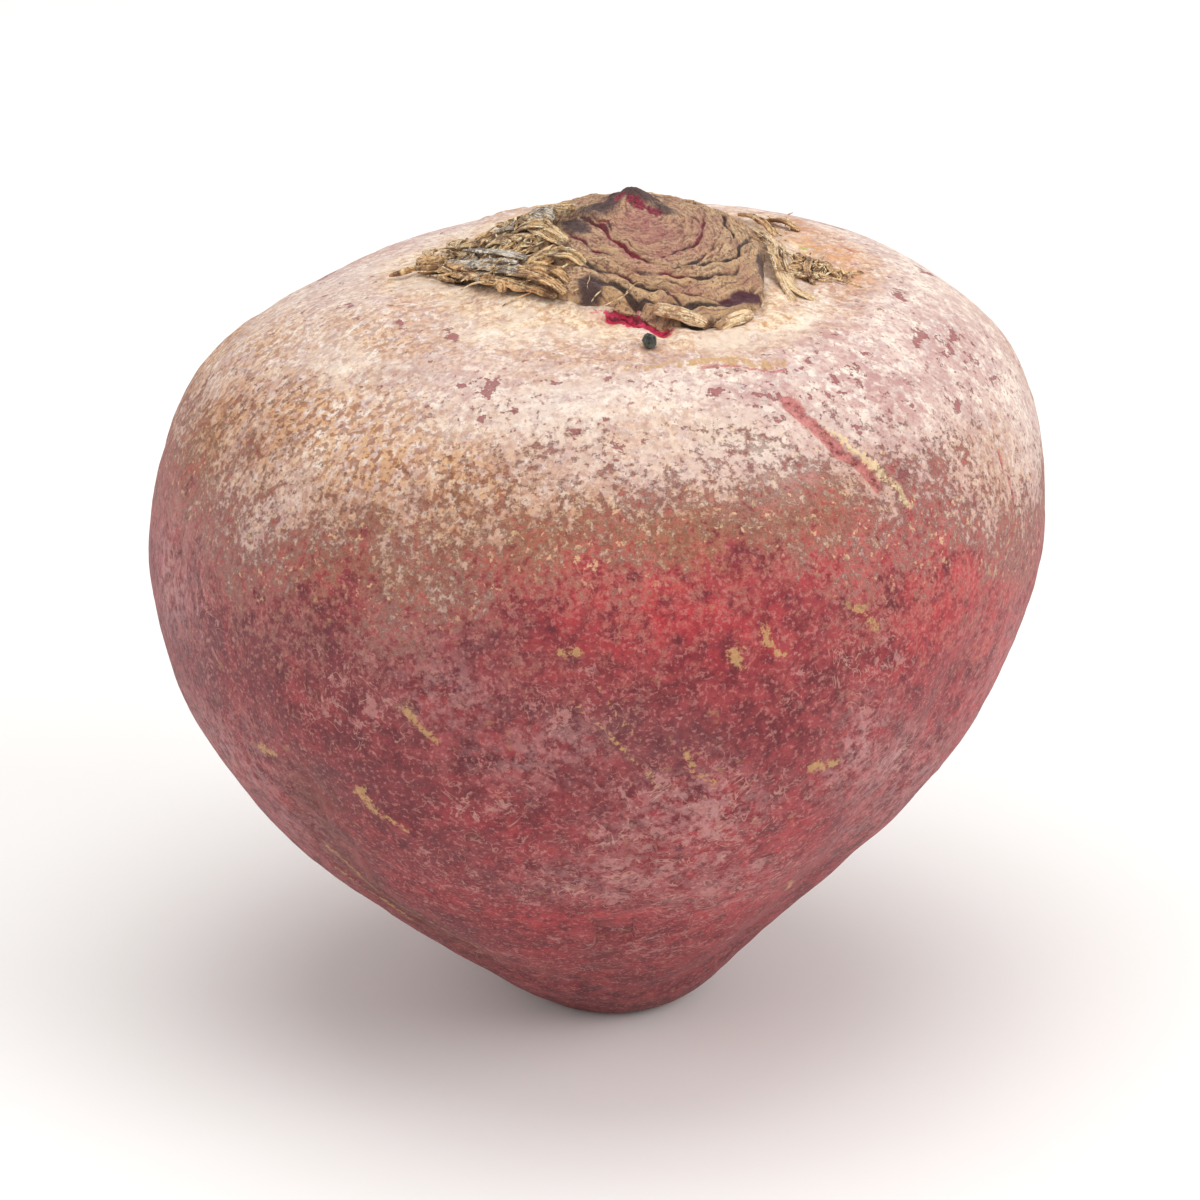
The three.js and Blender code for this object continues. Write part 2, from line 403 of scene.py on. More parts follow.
FLECKED = [
    (1, -118, 102, 3.6, 1.5, 0), (1, -138, 108, 2.4, 1, -20), (0.9, -172, 104.5, 2.4, 1, 0),
    (0.8, -151, 106.5, 2, 1, 0), (0.8, -87, 96.4, 2.2, 1.2, 0), (0.8, -80, 97.6, 2.2, 0.6, 0),
    (1, -67, 101.5, 4.6, 1.9, -15), (0.9, -63, 98.5, 2.6, 1.2, 0), (0.9, -50, 98.4, 2.2, 1.1, 0),
    (0.9, -44.5, 97.6, 1.4, 1.2, 0), (0.9, -52, 103.5, 2.6, 1.2, 20), (0.8, -43, 106, 2, 1, 20),
    (0.8, -37, 105.4, 1.6, 0.9, 30), (1, -12, 97.5, 4.6, 2, 0), (0.9, -20, 100.5, 4, 1.6, 20),
    (0.8, -34, 84, 0.9, 2, 0), (0.8, -12, 92.5, 1.2, 1.2, 0), (0.8, -28, 93, 3, 2, 0),
    (0.7, -60, 106, 2, 0.7, 0), (0.8, -4, 104.5, 5, 1.4, 0), (0.7, -47, 90, 2, 2, 0),
    (0.7, -105, 103.5, 2, 1, 0), (0.6, -92, 104.5, 2.4, 1, 0), (0.8, 15, 100, 5, 1.8, 0),
    (0.9, 40, 103, 4, 1.6, 30), (0.8, 70, 96, 5, 1.6, 0), (0.9, 100, 101, 5, 2, -20),
    (0.8, 130, 105, 4, 1.4, 0), (0.9, 152, 98, 4, 2, 10), (0.7, 172, 107, 3, 1.2, 0),
    (0.55, -50, 98, 12, 7, 0), (0.6, -18, 96, 12, 8, 0), (0.45, -120, 100, 14, 6, 0),
    (0.5, -62, 104, 8, 3, 0), (0.4, -90, 97, 14, 5, 0), (0.45, 40, 98, 20, 8, 0),
    (0.45, 100, 98, 20, 8, 0), (0.45, 160, 98, 18, 8, 0),
]
# Whitish patches of dry skin beside the crown.
CHALKY = [
    (1, -42, 109.6, 4.4, 1.8, -10), (0.8, -30, 110.6, 2.6, 1.6, 0), (0.7, -128, 110, 5, 2, 20),
    (0.6, -100, 100, 9, 4, 0), (0.6, -70, 96, 9, 4, 0), (0.7, -150, 99, 6, 3, 0),
    (0.7, 90, 106, 10, 3, 0), (0.7, 150, 108, 8, 3, 0), (0.5, 20, 98, 10, 5, 0),
]
# Torn scar on the right shoulder, wide at its top end, with a lifted pale edge beside it.
SCAR = [(-60.6, 100.2), (-59.2, 98), (-57.4, 95.8), (-55.8, 93.2), (-53.6, 91.2), (-52, 88.4)]
SCAR_EDGE = [(-57, 97), (-55.2, 94.6), (-53, 92), (-51.4, 89.6), (-49.2, 88.2), (-48, 86.4)]
SLIT = [(-23, 86), (-22, 83), (-21.4, 80)]
VALLEY = [(-94, 72), (-88, 66), (-80, 61)]
RIGHT_FURROW = [(-36, 66), (-44, 52), (-42, 36), (-40, 22)]
LEFT_FURROW = [(-131, 56), (-133, 46), (-130, 36), (-124, 26)]
BACK_FURROW = [(96, 60), (100, 44), (92, 26)]
# Scrapes: route, width at both ends.
SCRAPES = [
    ([(-70.6, 78), (-69.6, 76.2), (-67.6, 74.6)], (0.7, 0.35)),
    ([(-74, 76), (-72.6, 74.2)], (0.9, 0.7)),
    ([(-60.5, 80), (-57.6, 78), (-55, 75.6)], (0.3, 0.5)),
    ([(-58.4, 78.6), (-56, 77.8)], (0.35, 0.3)),
    ([(-114.6, 69.4), (-112.4, 67.4), (-110, 66)], (0.7, 0.35)),
    ([(-121.4, 58), (-119.6, 55.6), (-115.4, 53.4)], (1.1, 0.35)),
    ([(-79.4, 66), (-77, 62.6), (-74, 61)], (0.35, 0.5)),
    ([(-93, 71), (-86.4, 66.4), (-81.6, 61.4)], (0.25, 0.25)),
    ([(-90, 72.6), (-84, 66.8)], (0.22, 0.22)),
    ([(-52, 42), (-48.4, 39.6), (-46.4, 37.6)], (0.45, 0.6)),
    ([(-135, 45), (-131, 39), (-127, 33)], (0.5, 0.35)),
    ([(-138, 41), (-134, 36), (-131, 31)], (0.35, 0.3)),
    ([(-124, 36), (-119, 30), (-116, 27)], (0.3, 0.3)),
    ([(118, 64), (124, 60)], (0.8, 0.4)), ([(44, 62), (40, 56)], (0.6, 0.4)),
    ([(84, 78), (88, 74)], (0.7, 0.4)), ([(160, 52), (166, 47)], (0.6, 0.5)),
]
# Small round marks: direction, distance up, radius, height (negative for a pit).
SPOTS = [
    (-128.4, 77.6, 0.7, 0.25), (-126.6, 76, 0.5, -0.3), (-110.6, 72.6, 0.5, 0.3),
    (-97.4, 19.4, 0.5, 0.35), (-82.6, 51.8, 0.4, 0.25), (-84, 26, 0.35, 0.2),
    (-146, 57.8, 0.5, 0.3), (-61, 49.6, 0.35, 0.2), (30, 66, 0.6, 0.3), (104, 72, 0.6, 0.3),
    (150, 40, 0.5, 0.3), (64, 44, 0.5, -0.3),
]


def skin_marks(skin):
    """Heights in millimetres and soft masks of everything that marks the skin."""
    azimuth, up = skin.azimuth, skin.up
    drift = 3.6 * rough(skin.place, 11, 4, 21)
    edge = np.interp(azimuth, *np.array(DUST_EDGE, float).T) + drift
    dust = smoothstep(-24, 24, up - edge)
    scar = skin.stroke(SCAR, (1.2, 0.6), 0.3)
    scar_edge = skin.stroke(SCAR_EDGE, (0.35, 0.9), 0.4)
    slit = skin.stroke(SLIT, 0.45)
    valley = skin.stroke(VALLEY, 3.2, 0.4)
    right_furrow = skin.stroke(RIGHT_FURROW, 4.5, 0.3)
    left_furrow = skin.stroke(LEFT_FURROW, 3.6, 0.5)
    back_furrow = skin.stroke(BACK_FURROW, 4, 0.5)
    scrapes = np.max([
        skin.stroke(route, (1.5 * width[0], 1.5 * width[1]), 0.35) for route, width in SCRAPES
    ], 0)
    spots = np.array([bell(np.hypot(*skin.away(a, u, 0)), r) for a, u, r, _ in SPOTS])
    spot_heights = np.array([h for *_, h in SPOTS])
    rim = smoothstep(103.5, 108.5, up + 1.4 * rough(skin.place, 5, 3, 31))
    masks = {
        "dust": dust,
        "ochre": np.maximum(skin.patches(OCHRE, ragged=1), 0.55 * rim),
        "crimson": skin.patches(CRIMSON, ragged=1),
        "plum_and_painted_shade": skin.patches(PLUM_AND_PAINTED_SHADE, ragged=1),
        "veil": skin.patches(VEIL, ragged=1),
        "scuffed": skin.patches(SCUFFED, ragged=1),
        "flecked": np.maximum(skin.patches(FLECKED, ragged=0.4), slit),
        "bare": np.maximum(scar, 0.8 * slit),
        "torn": scar_edge,
        "scraped": np.maximum(scrapes, spots.max(0)),
        "chalky": skin.patches(CHALKY, ragged=1),
        # Dark brown in the left furrow and towards the foot.
        "shadow_and_darkening": np.maximum(0.8 * left_furrow, smoothstep(16, 2, up)),
    }
    height = (
        0.35 * rough(skin.place, 14, 2, 41)
        + 0.10 * rough(skin.place, 4, 3, 43)
        + 0.05 * dust * rough(skin.place, 1.3, 2, 45)
        - 0.55 * scar + 0.30 * scar_edge * (1 + lumps(skin.place, 0.9, 47)) - 0.25 * slit
        - 0.45 * valley - 0.9 * right_furrow - 0.5 * left_furrow - 0.6 * back_furrow
        + 0.12 * left_furrow * lumps(skin.place * (1, 1, 0.25), 0.9, 49)
        + 0.12 * scrapes
        + np.einsum("i,i...->...", spot_heights, spots)
        - 0.06 * masks["flecked"]
    )
    return height, masks


# ------------------------------------------------------------------ skin of the root
# Edge of the woody crown, as distance from the crown's middle, by direction.
CROWN_EDGE = [
    (-180, 18), (-161, 15.2), (-143, 14.1), (-121, 14), (-107, 14.4), (-95, 13.9),
    (-86, 14.2), (-77, 15.6), (-68, 17.4), (-57, 17.6), (-40, 16.6), (-28, 15), (-10, 13.6), (5, 13.5),
    (25, 14.3), (45, 15.4), (70, 16.6), (100, 17.5), (140, 17.6), (165, 18), (180, 18),
]
GASH = [(-97, 116.4), (-91, 116), (-84, 115.4), (-77, 114.4)]
RIM_STEP = [(-90, 106.4), (-80, 107.4), (-68, 106), (-60, 104.6), (-57, 104.4)]
RED_SPOTS = [(0.9, 20, 108.2, 1.1, 0.6, 0), (0.8, 28, 107, 0.8, 0.5, 0), (0.8, 10, 109, 0.7, 0.5, 0)]
RIM_TEAR = [(-74, 105.8), (-66, 104.8), (-57.6, 103.6)]
RIM_HOLLOWS = [
    (0.8, -60, 109.5, 3, 1.6, 0), (0.5, -118, 113, 4, 1.6, 0), (0.6, -48, 111.5, 2.4, 1, 0),
]
RIGHT_STAIN = [(1, 20, 110.5, 4.5, 3, 0), (0.8, 2, 110, 4, 2.4, 0), (0.6, 38, 109, 4, 3, 0)]


def edge_radius(azimuth):
    return np.interp(azimuth, *np.array(CROWN_EDGE, float).T)


def build_skin(material):
    """The skin: rings up the outline, closer together near the top, each point pushed out
    along the root's normal by the height of the marks. Columns are closer together at the
    front, because the direction is the column's share plus a sine of it."""
    share = np.arange(SKIN_COLUMNS) / SKIN_COLUMNS * 360
    azimuth = share - 270 + CROWDING * np.sin(np.radians(share))
    spread = np.linspace(0, 1, SKIN_RINGS)
    up = FOOT_RADIUS + (TOP_UP - 2 - FOOT_RADIUS) * (spread + 0.055 * np.sin(np.pi * spread))
    up = np.concatenate([[2, 4], up])
    azimuth, up = np.meshgrid(azimuth, up)
    azimuth = turn_between(azimuth, 0)
    skin = Skin(azimuth, up)
    height, masks = skin_marks(skin)
    from_edge = skin.radius - edge_radius(azimuth)
    upper = smoothstep(95, 100, up)
    gash = skin.stroke(GASH, (1, 1.3), 0.7)
    step, _, side = skin.nearest(RIM_STEP, 0.4)
    flap = bell(step, 0.8) * (side > 0)
    stain = skin.patches(RIGHT_STAIN, 0.8)
    height += upper * (
        -1.4 * smoothstep(0.4, -0.9, from_edge)
        - 0.5 * bell(from_edge - 0.3, 0.9)
        - 1.2 * gash + 0.35 * gash * lumps(skin.place, 0.8, 55)
        + 0.28 * bell(step, 1.3) - 0.3 * bell(step - 0.3, 0.4) * (side < 0)
        - 0.7 * skin.patches(RIM_HOLLOWS)
        + 0.16 * smoothstep(104, 110, up) * rough(skin.place, 1.6, 3, 51)
    )
    masks["flesh"] = gash
    masks["torn"] = np.maximum(masks["torn"], 0.6 * flap * upper)
    masks["rim"] = smoothstep(7.5, 3.0, from_edge + 1.2 * rough(skin.place, 4, 3, 53)) * upper
    masks["stain"] = stain
    masks["green"] = skin.patch(21.7, 112.9, 0.8, 0.55)
    sore = 0.75 * skin.stroke(GASH, 2.2, 1)
    masks["bare"] = np.max([masks["bare"], skin.patches(RED_SPOTS, 0.3), sore * upper], 0)
    masks["scraped"] = np.maximum(masks["scraped"], skin.stroke(RIM_STEP, 0.8, 0.6))
    masks["bare"] = np.maximum(masks["bare"], 0.8 * skin.stroke(RIM_TEAR, 0.4, 0.8))
    # Painted shadow in the gap under the crown's edge.
    masks["shadow_and_darkening"] = np.maximum(
        masks["shadow_and_darkening"], 0.75 * bell(from_edge - 0.2, 0.7) * upper * (1 - gash)
    )
    normal = normals_of(skin.place)
    flat = smoothstep(FOOT_RADIUS, FOOT_RADIUS + 4, up)
    points = skin.place + normal * (height * flat)[..., None]
    rings = with_ends(points)
    values = {
        key: np.concatenate([mask.ravel(), mask[:1].mean(1), mask[-1:].mean(1)])
        for key, mask in masks.items()
    }
    faces = facing_out(rings, tube_faces(*up.shape))
    return add_object(
        "root_skin", rings, faces, values, material=material, node="root_body"
    )


# ------------------------------------------------------------------ woody crown
# Cracks between the scars of old leaf stalks: route, depth, half width, lip beside it.
CRACKS = [
    ([(-5.2, -0.3), (-3.5, -1.8), (-1.8, -4), (0.2, -7), (1.2, -8.8), (2.8, -9.8), (4.2, -10.1)],
     0.60, 0.26, 0.40),
    ([(-4.2, -0.6), (-2.4, -2.4), (-0.8, -4.6), (1.1, -7.4), (2.3, -8.9), (3.6, -9.5)],
     0.30, 0.18, 0.20),
    ([(8.4, 4), (8.7, 0), (8.6, -3), (7.4, -6.2), (5.4, -8.2), (3.6, -9.1)], 0.45, 0.24, 0.28),
    ([(6, 3), (6.4, -1.6), (6.1, -4), (4.8, -5.8), (3, -6.8), (1.2, -7)], 0.25, 0.22, 0.16),
    ([(4.8, -1), (4.8, -2.8), (3.8, -4.3), (2.2, -5.2), (0.6, -5)], 0.15, 0.25, 0.12),
    ([(9.8, 7), (10.7, 1), (11.3, -2.8)], 0.45, 0.22, 0.22),
    ([(13.2, 1), (12.3, -2.8), (11.8, -5.5), (10.6, -7), (8.6, -8.6), (6.6, -9.6)],
     0.50, 0.24, 0.30),
    ([(12.4, -6), (11.2, -8.4), (9.4, -10), (7.2, -11.1), (4.8, -11.6), (2, -11.3), (-0.6, -10.2)],
     0.55, 0.26, 0.34),
    ([(13.8, -8.4), (11.6, -11.8), (8.8, -13.6), (5.8, -14.4), (3.1, -14.2), (0, -12.8),
      (-2.8, -12)], 0.60, 0.28, 0.20),
    ([(12.9, -9.6), (10.4, -12.2), (7.4, -13.1), (4.4, -13.1), (1.6, -12.4)], 0.30, 0.2, 0.2),
    ([(-6.5, 1.5), (-5.6, -2), (-3.6, -5.6), (-1.6, -8.6), (0.4, -10.4)], 0.4, 0.2, 0.15),
    ([(-8, 2), (-7.4, -2.5), (-5.4, -6.6), (-3, -9.6), (-0.6, -11.6)], 0.5, 0.24, 0.18),
    ([(-2.2, 3), (0, 4.6), (3, 5), (5.8, 3.6)], 0.4, 0.25, 0.25),
    ([(-5, 4), (-2.4, 7.4), (2, 8.6), (6.6, 7.2), (9.4, 4)], 0.5, 0.28, 0.3),
    ([(-8.6, 5), (-5.6, 10), (0, 12), (6, 11.4), (10.8, 8)], 0.55, 0.28, 0.35),
    ([(-11.6, 6), (-8.6, 12), (-2, 15), (6, 14.6), (11.4, 11.4)], 0.6, 0.3, 0.4),
    ([(-4, -9.6), (-1.6, -11), (1.4, -12.2), (4.6, -13.4), (7.6, -14.6)], 0.6, 0.24, 0.15),
    ([(4.4, -13.9), (7.2, -15.4), (9.6, -15.9)], 0.5, 0.26, 0.2),
    ([(7.4, 1), (7.5, -2), (6.8, -4.6), (5.6, -6.6)], 0.3, 0.18, 0.18),
    ([(9.8, -3.6), (9, -6.4), (7.4, -8.8), (5.2, -10.6), (2.4, -10.9)], 0.35, 0.2, 0.24),
    ([(-1.2, -9.8), (1, -10.8), (4, -12.2), (7.4, -12.2)], 0.35, 0.2, 0.22),
]
PINK = [
    (1, 3.2, -5, 4.2, 3, 0), (0.9, 5.8, -8, 3.4, 1, 30), (0.9, 1, -8.9, 2.4, 0.8, -45),
    (0.7, 8.2, -3, 1.6, 3.4, 0), (0.6, 3, -11, 3, 0.9, 0), (0.6, 8, -12.4, 2.6, 0.6, 20),
    (0.7, 0, 4, 4, 2, 0), (0.5, -3, -6, 1, 2.6, 30), (0.55, 12.6, -7, 0.6, 1.4, 0),
]
FLESH = [
    (1, 0.3, -1, 0.8, 0.7, 0), (1, 2.2, -1.7, 1.4, 0.8, -8), (1, 3.9, -1.9, 1, 0.8, -8),
    (0.55, 3.7, -9.3, 1.1, 0.2, 10), (0.5, 3.2, -14.2, 1.8, 0.3, 0),
    (0.5, 1.4, -13.2, 1, 0.3, -20), (0.5, 9.4, -4.6, 0.3, 1.2, 0), (0.5, 7, -9.6, 1.2, 0.3, 20),
]
MAROON = [(1, 12.6, -10.6, 2, 0.8, 38), (0.8, 10.6, -12.2, 1.2, 0.4, 30)]
# Near-black patches: painted shade round the peak, in the hollows and under the husks and front lips,
# and one real dark mould spot.
PAINTED_SHADE_AND_MOULD = [
    (1, -1.4, -1.4, 2.6, 1.8, -15), (1.2, 1.6, 0, 3.2, 1.7, 0), (0.8, 4.6, -0.8, 1.8, 1.4, 0),
    (1.2, -2.4, -12.7, 1.3, 1.2, 0), (0.9, -3.8, -3.4, 1.2, 3, 32), (1, -9, -5, 1.8, 1.5, 0),
    (0.8, -12, -5.6, 3, 1.2, -45), (0.8, 9.1, -15.8, 0.6, 1, 0), (0.8, -7, -8.5, 2.4, 1.2, -35),
    (0.8, 14.2, -4, 0.5, 4, 0), (0.8, 13.6, 5, 0.6, 5, 0), (0.7, -11, 6, 3, 5, 20),
    (0.7, 2, 6, 5, 3, 0), (0.8, -5.4, -6.4, 0.8, 2.4, 35), (0.6, 5, -15.2, 3, 0.5, 0),
]


def build_crown(material):
    """The crown's plate: rings from its ragged edge to its peak, at the height of the low
    cone, raised towards the edge and rounded over it, with a crack and a lip for each scar,
    fine steps that follow them and a granular surface. It closes underneath."""
    azimuth = np.arange(CROWN_COLUMNS) / CROWN_COLUMNS * 360 - 180
    share = np.linspace(1, 0.004, CROWN_RINGS)
    azimuth, share = np.meshgrid(azimuth, share)
    turn = np.radians(azimuth)
    ragged = np.stack([9 * np.cos(turn), 9 * np.sin(turn), 0 * turn], -1)
    edge = edge_radius(azimuth) + 0.55 * rough(ragged, 2.2, 3, 71)
    radius = share * edge
    crown = Crown(CROWN_X + radius * np.cos(turn), radius * np.sin(turn))
    inside = edge - radius
    # Distance that follows the scars: rings round a point in front of the peak.
    ring = np.hypot(crown.x - 2.2, (crown.y + 1.5) * 0.93) + 0.7 * rough(crown.place, 4, 2, 73)
    steps = ring / 1.15 % 1
    from_peak = np.hypot(crown.x - 1.7, crown.y + 0.3)
    along = np.stack([ring * 2.2, azimuth / 26, 0 * ring], -1)
    height = (
        0.35 * smoothstep(9, 3, inside)
        - 1.7 * smoothstep(1.0, 0, inside) ** 2
        - 0.85 * smoothstep(0.3, 3.2, from_peak) * smoothstep(10, 5, from_peak)
        + 0.3 * bell(from_peak, 0.9)
        + 0.10 * (1 - steps) * smoothstep(3.4, 5, ring)
        + 0.05 * rough(along, 0.8, 3, 75)
        + 0.08 * rough(crown.place, 1.6, 2, 77)
        + 0.13 * rough(crown.place, 0.7, 3, 78)
    )
    crack = np.zeros(crown.shape)
    lips = np.zeros(crown.shape)
    for route, depth, width, lip in CRACKS:
        route = along_points(route, np.linspace(0, 1, 4 * len(route)))
        distance, share_along, side = crown.nearest(route, 0.8)
        fade = np.sin(np.pi * np.clip(share_along, 0.06, 0.94)) ** 0.4
        broken = 0.6 + 0.4 * lumps(crown.place, 1.7, 79)
        line = bell(distance, width * (0.7 + 0.5 * broken)) * fade * broken
        inner = bell(distance - 2.2 * width, 1.6 * width) * fade * (0.5 + broken / 2)
        height += -1.1 * depth * line + lip * inner * (side > 0) + 0.3 * lip * inner * (side < 0)
        crack = np.maximum(crack, line * depth / 0.6)
        lips = np.maximum(lips, inner * (side > 0))
    flesh = crown.patches(FLESH, 0.6)
    maroon = crown.patches(MAROON, 0.3)
    # Painted shade round the peak, in the hollows and under the husks, and the mould spot.
    dark = crown.patches(PAINTED_SHADE_AND_MOULD, 0.8)
    left = smoothstep(-3, -7, crown.x) * smoothstep(9, 5, crown.y)
    height += -0.3 * flesh * (1 + lumps(crown.place, 0.7, 81)) - 0.5 * maroon
    height += 0.35 * left * rough(crown.place, 1.4, 3, 83) - 0.5 * left * dark
    masks = {
        "pink": crown.patches(PINK, 1), "flesh": flesh, "maroon": maroon, "dark": dark,
        "crack": crack, "lips": lips, "left": left,
        "outer": smoothstep(8, 12, ring),
    }
    level = crown_level(crown.x, crown.y) + height
    points = np.stack([crown.x, crown.y, level], -1)
    under = np.stack([
        CROWN_X + (points[0, :, 0] - CROWN_X) * 0.5, points[0, :, 1] * 0.5, 0 * azimuth[0] + 73,
    ], -1)[None]
    points = with_ends(np.concatenate([under, points]))
    values = {
        key: np.concatenate([mask[0], mask.ravel(), mask[:1].mean(1), mask[-1:].mean(1)])
        for key, mask in masks.items()
    }
    uv = np.stack([ring, azimuth / 8], -1)
    uv = with_ends(np.concatenate([uv[:1], uv]))
    faces = facing_out(points, tube_faces(CROWN_RINGS + 1, CROWN_COLUMNS))
    return add_object("crown", points, faces, values, uv, material)


# ------------------------------------------------------------------ dried stalk bases


def crown_route(route, share):
    """Points and upward normals along a route of (x, y, height above the crown)."""
    place = along_points(route, share)
    x, y, lift = place.T
    step = 0.4
    slope_x = (crown_level(x + step, y) - crown_level(x - step, y)) / (2 * step)
    slope_y = (crown_level(x, y + step) - crown_level(x, y - step)) / (2 * step)
    normal = np.stack([-slope_x, -slope_y, np.ones_like(x)], -1)
    normal /= np.linalg.norm(normal, axis=1, keepdims=True)
    points = np.stack([x, y, crown_level(x, y)], -1) + normal * lift[:, None]
    return points, normal


def husk(route, width, curl=40, tilt=(0, 0), thick=0.32, seed=0, ragged=0.3, rows=70, around=30):
    """A torn, dried strip: across the route, an arc of curl degrees and of that width,
    turned about the route by tilt degrees, from its first to its second value. Its faces
    are ridged by stretched lumps, its edges wander, and both ends thin out in tatters."""
    share = np.linspace(0, 1, rows)
    middle, normal = crown_route(route, share)
    tangent = np.gradient(middle, axis=0)
    tangent /= np.linalg.norm(tangent, axis=1, keepdims=True)
    across = np.cross(tangent, normal)
    across /= np.linalg.norm(across, axis=1, keepdims=True)
    out = np.cross(across, tangent)
    lean = np.radians(tilt[0] + (tilt[1] - tilt[0]) * share)[:, None]
    across, out = (
        across * np.cos(lean) + out * np.sin(lean), out * np.cos(lean) - across * np.sin(lean)
    )
    length = np.concatenate([[0], np.cumsum(np.linalg.norm(np.diff(middle, axis=0), axis=1))])
    turn = np.arange(around) / around * 2 * np.pi
    side = np.sign(np.cos(turn)) * np.abs(np.cos(turn)) ** 0.8
    grid = np.stack(np.broadcast_arrays(length[:, None], side[None] * 2.4, seed * 3.7), -1)
    wander = 1 + ragged * rough(grid * (1, 0.6, 1), 1.6, 3, 91)
    ends = (share * (1 - share) * 4) ** 0.3
    half = width / 2 * ends[:, None] * wander
    bend = np.radians(curl) / 2
    angle = side[None] * bend
    x = half * np.sin(angle) / bend
    z = half * (1 - np.cos(angle)) / bend
    ridges = 0.09 * rough(grid * (0.16, 2.4, 1), 1, 3, 93) + 0.06 * rough(grid, 0.8, 2, 95)
    skin = thick / 2 * np.sin(turn)[None] * np.minimum(ends, 1)[:, None] + ridges
    x, z = x - skin * np.sin(angle), z + skin * np.cos(angle)
    points = middle[:, None] + across[:, None] * x[..., None] + out[:, None] * z[..., None]
    uv = np.stack([length[:, None] + 0 * x, side[None] * half + seed * 5], -1)
    return np.concatenate([points, uv], -1)


def strand(route, radius, rows=22, around=6):
    """A single fibre: circles along the route, thinning towards both ends."""
    share = np.linspace(0, 1, rows)
    middle, normal = crown_route(route, share)
    tangent = np.gradient(middle, axis=0)
    tangent /= np.linalg.norm(tangent, axis=1, keepdims=True)
    across = np.cross(tangent, normal)
    across /= np.linalg.norm(across, axis=1, keepdims=True)
    out = np.cross(across, tangent)
    turn = (np.arange(around) / around * 2 * np.pi)[None, :, None]
    size = (radius * (0.25 + np.sin(np.pi * share) ** 0.5))[:, None, None]
    points = middle[:, None] + size * (across[:, None] * np.cos(turn) + out[:, None] * np.sin(turn))
    uv = np.stack([np.repeat(share[:, None] * 6, around, 1), 0 * points[..., 0] + route[0][0]], -1)
    return np.concatenate([points, uv], -1)


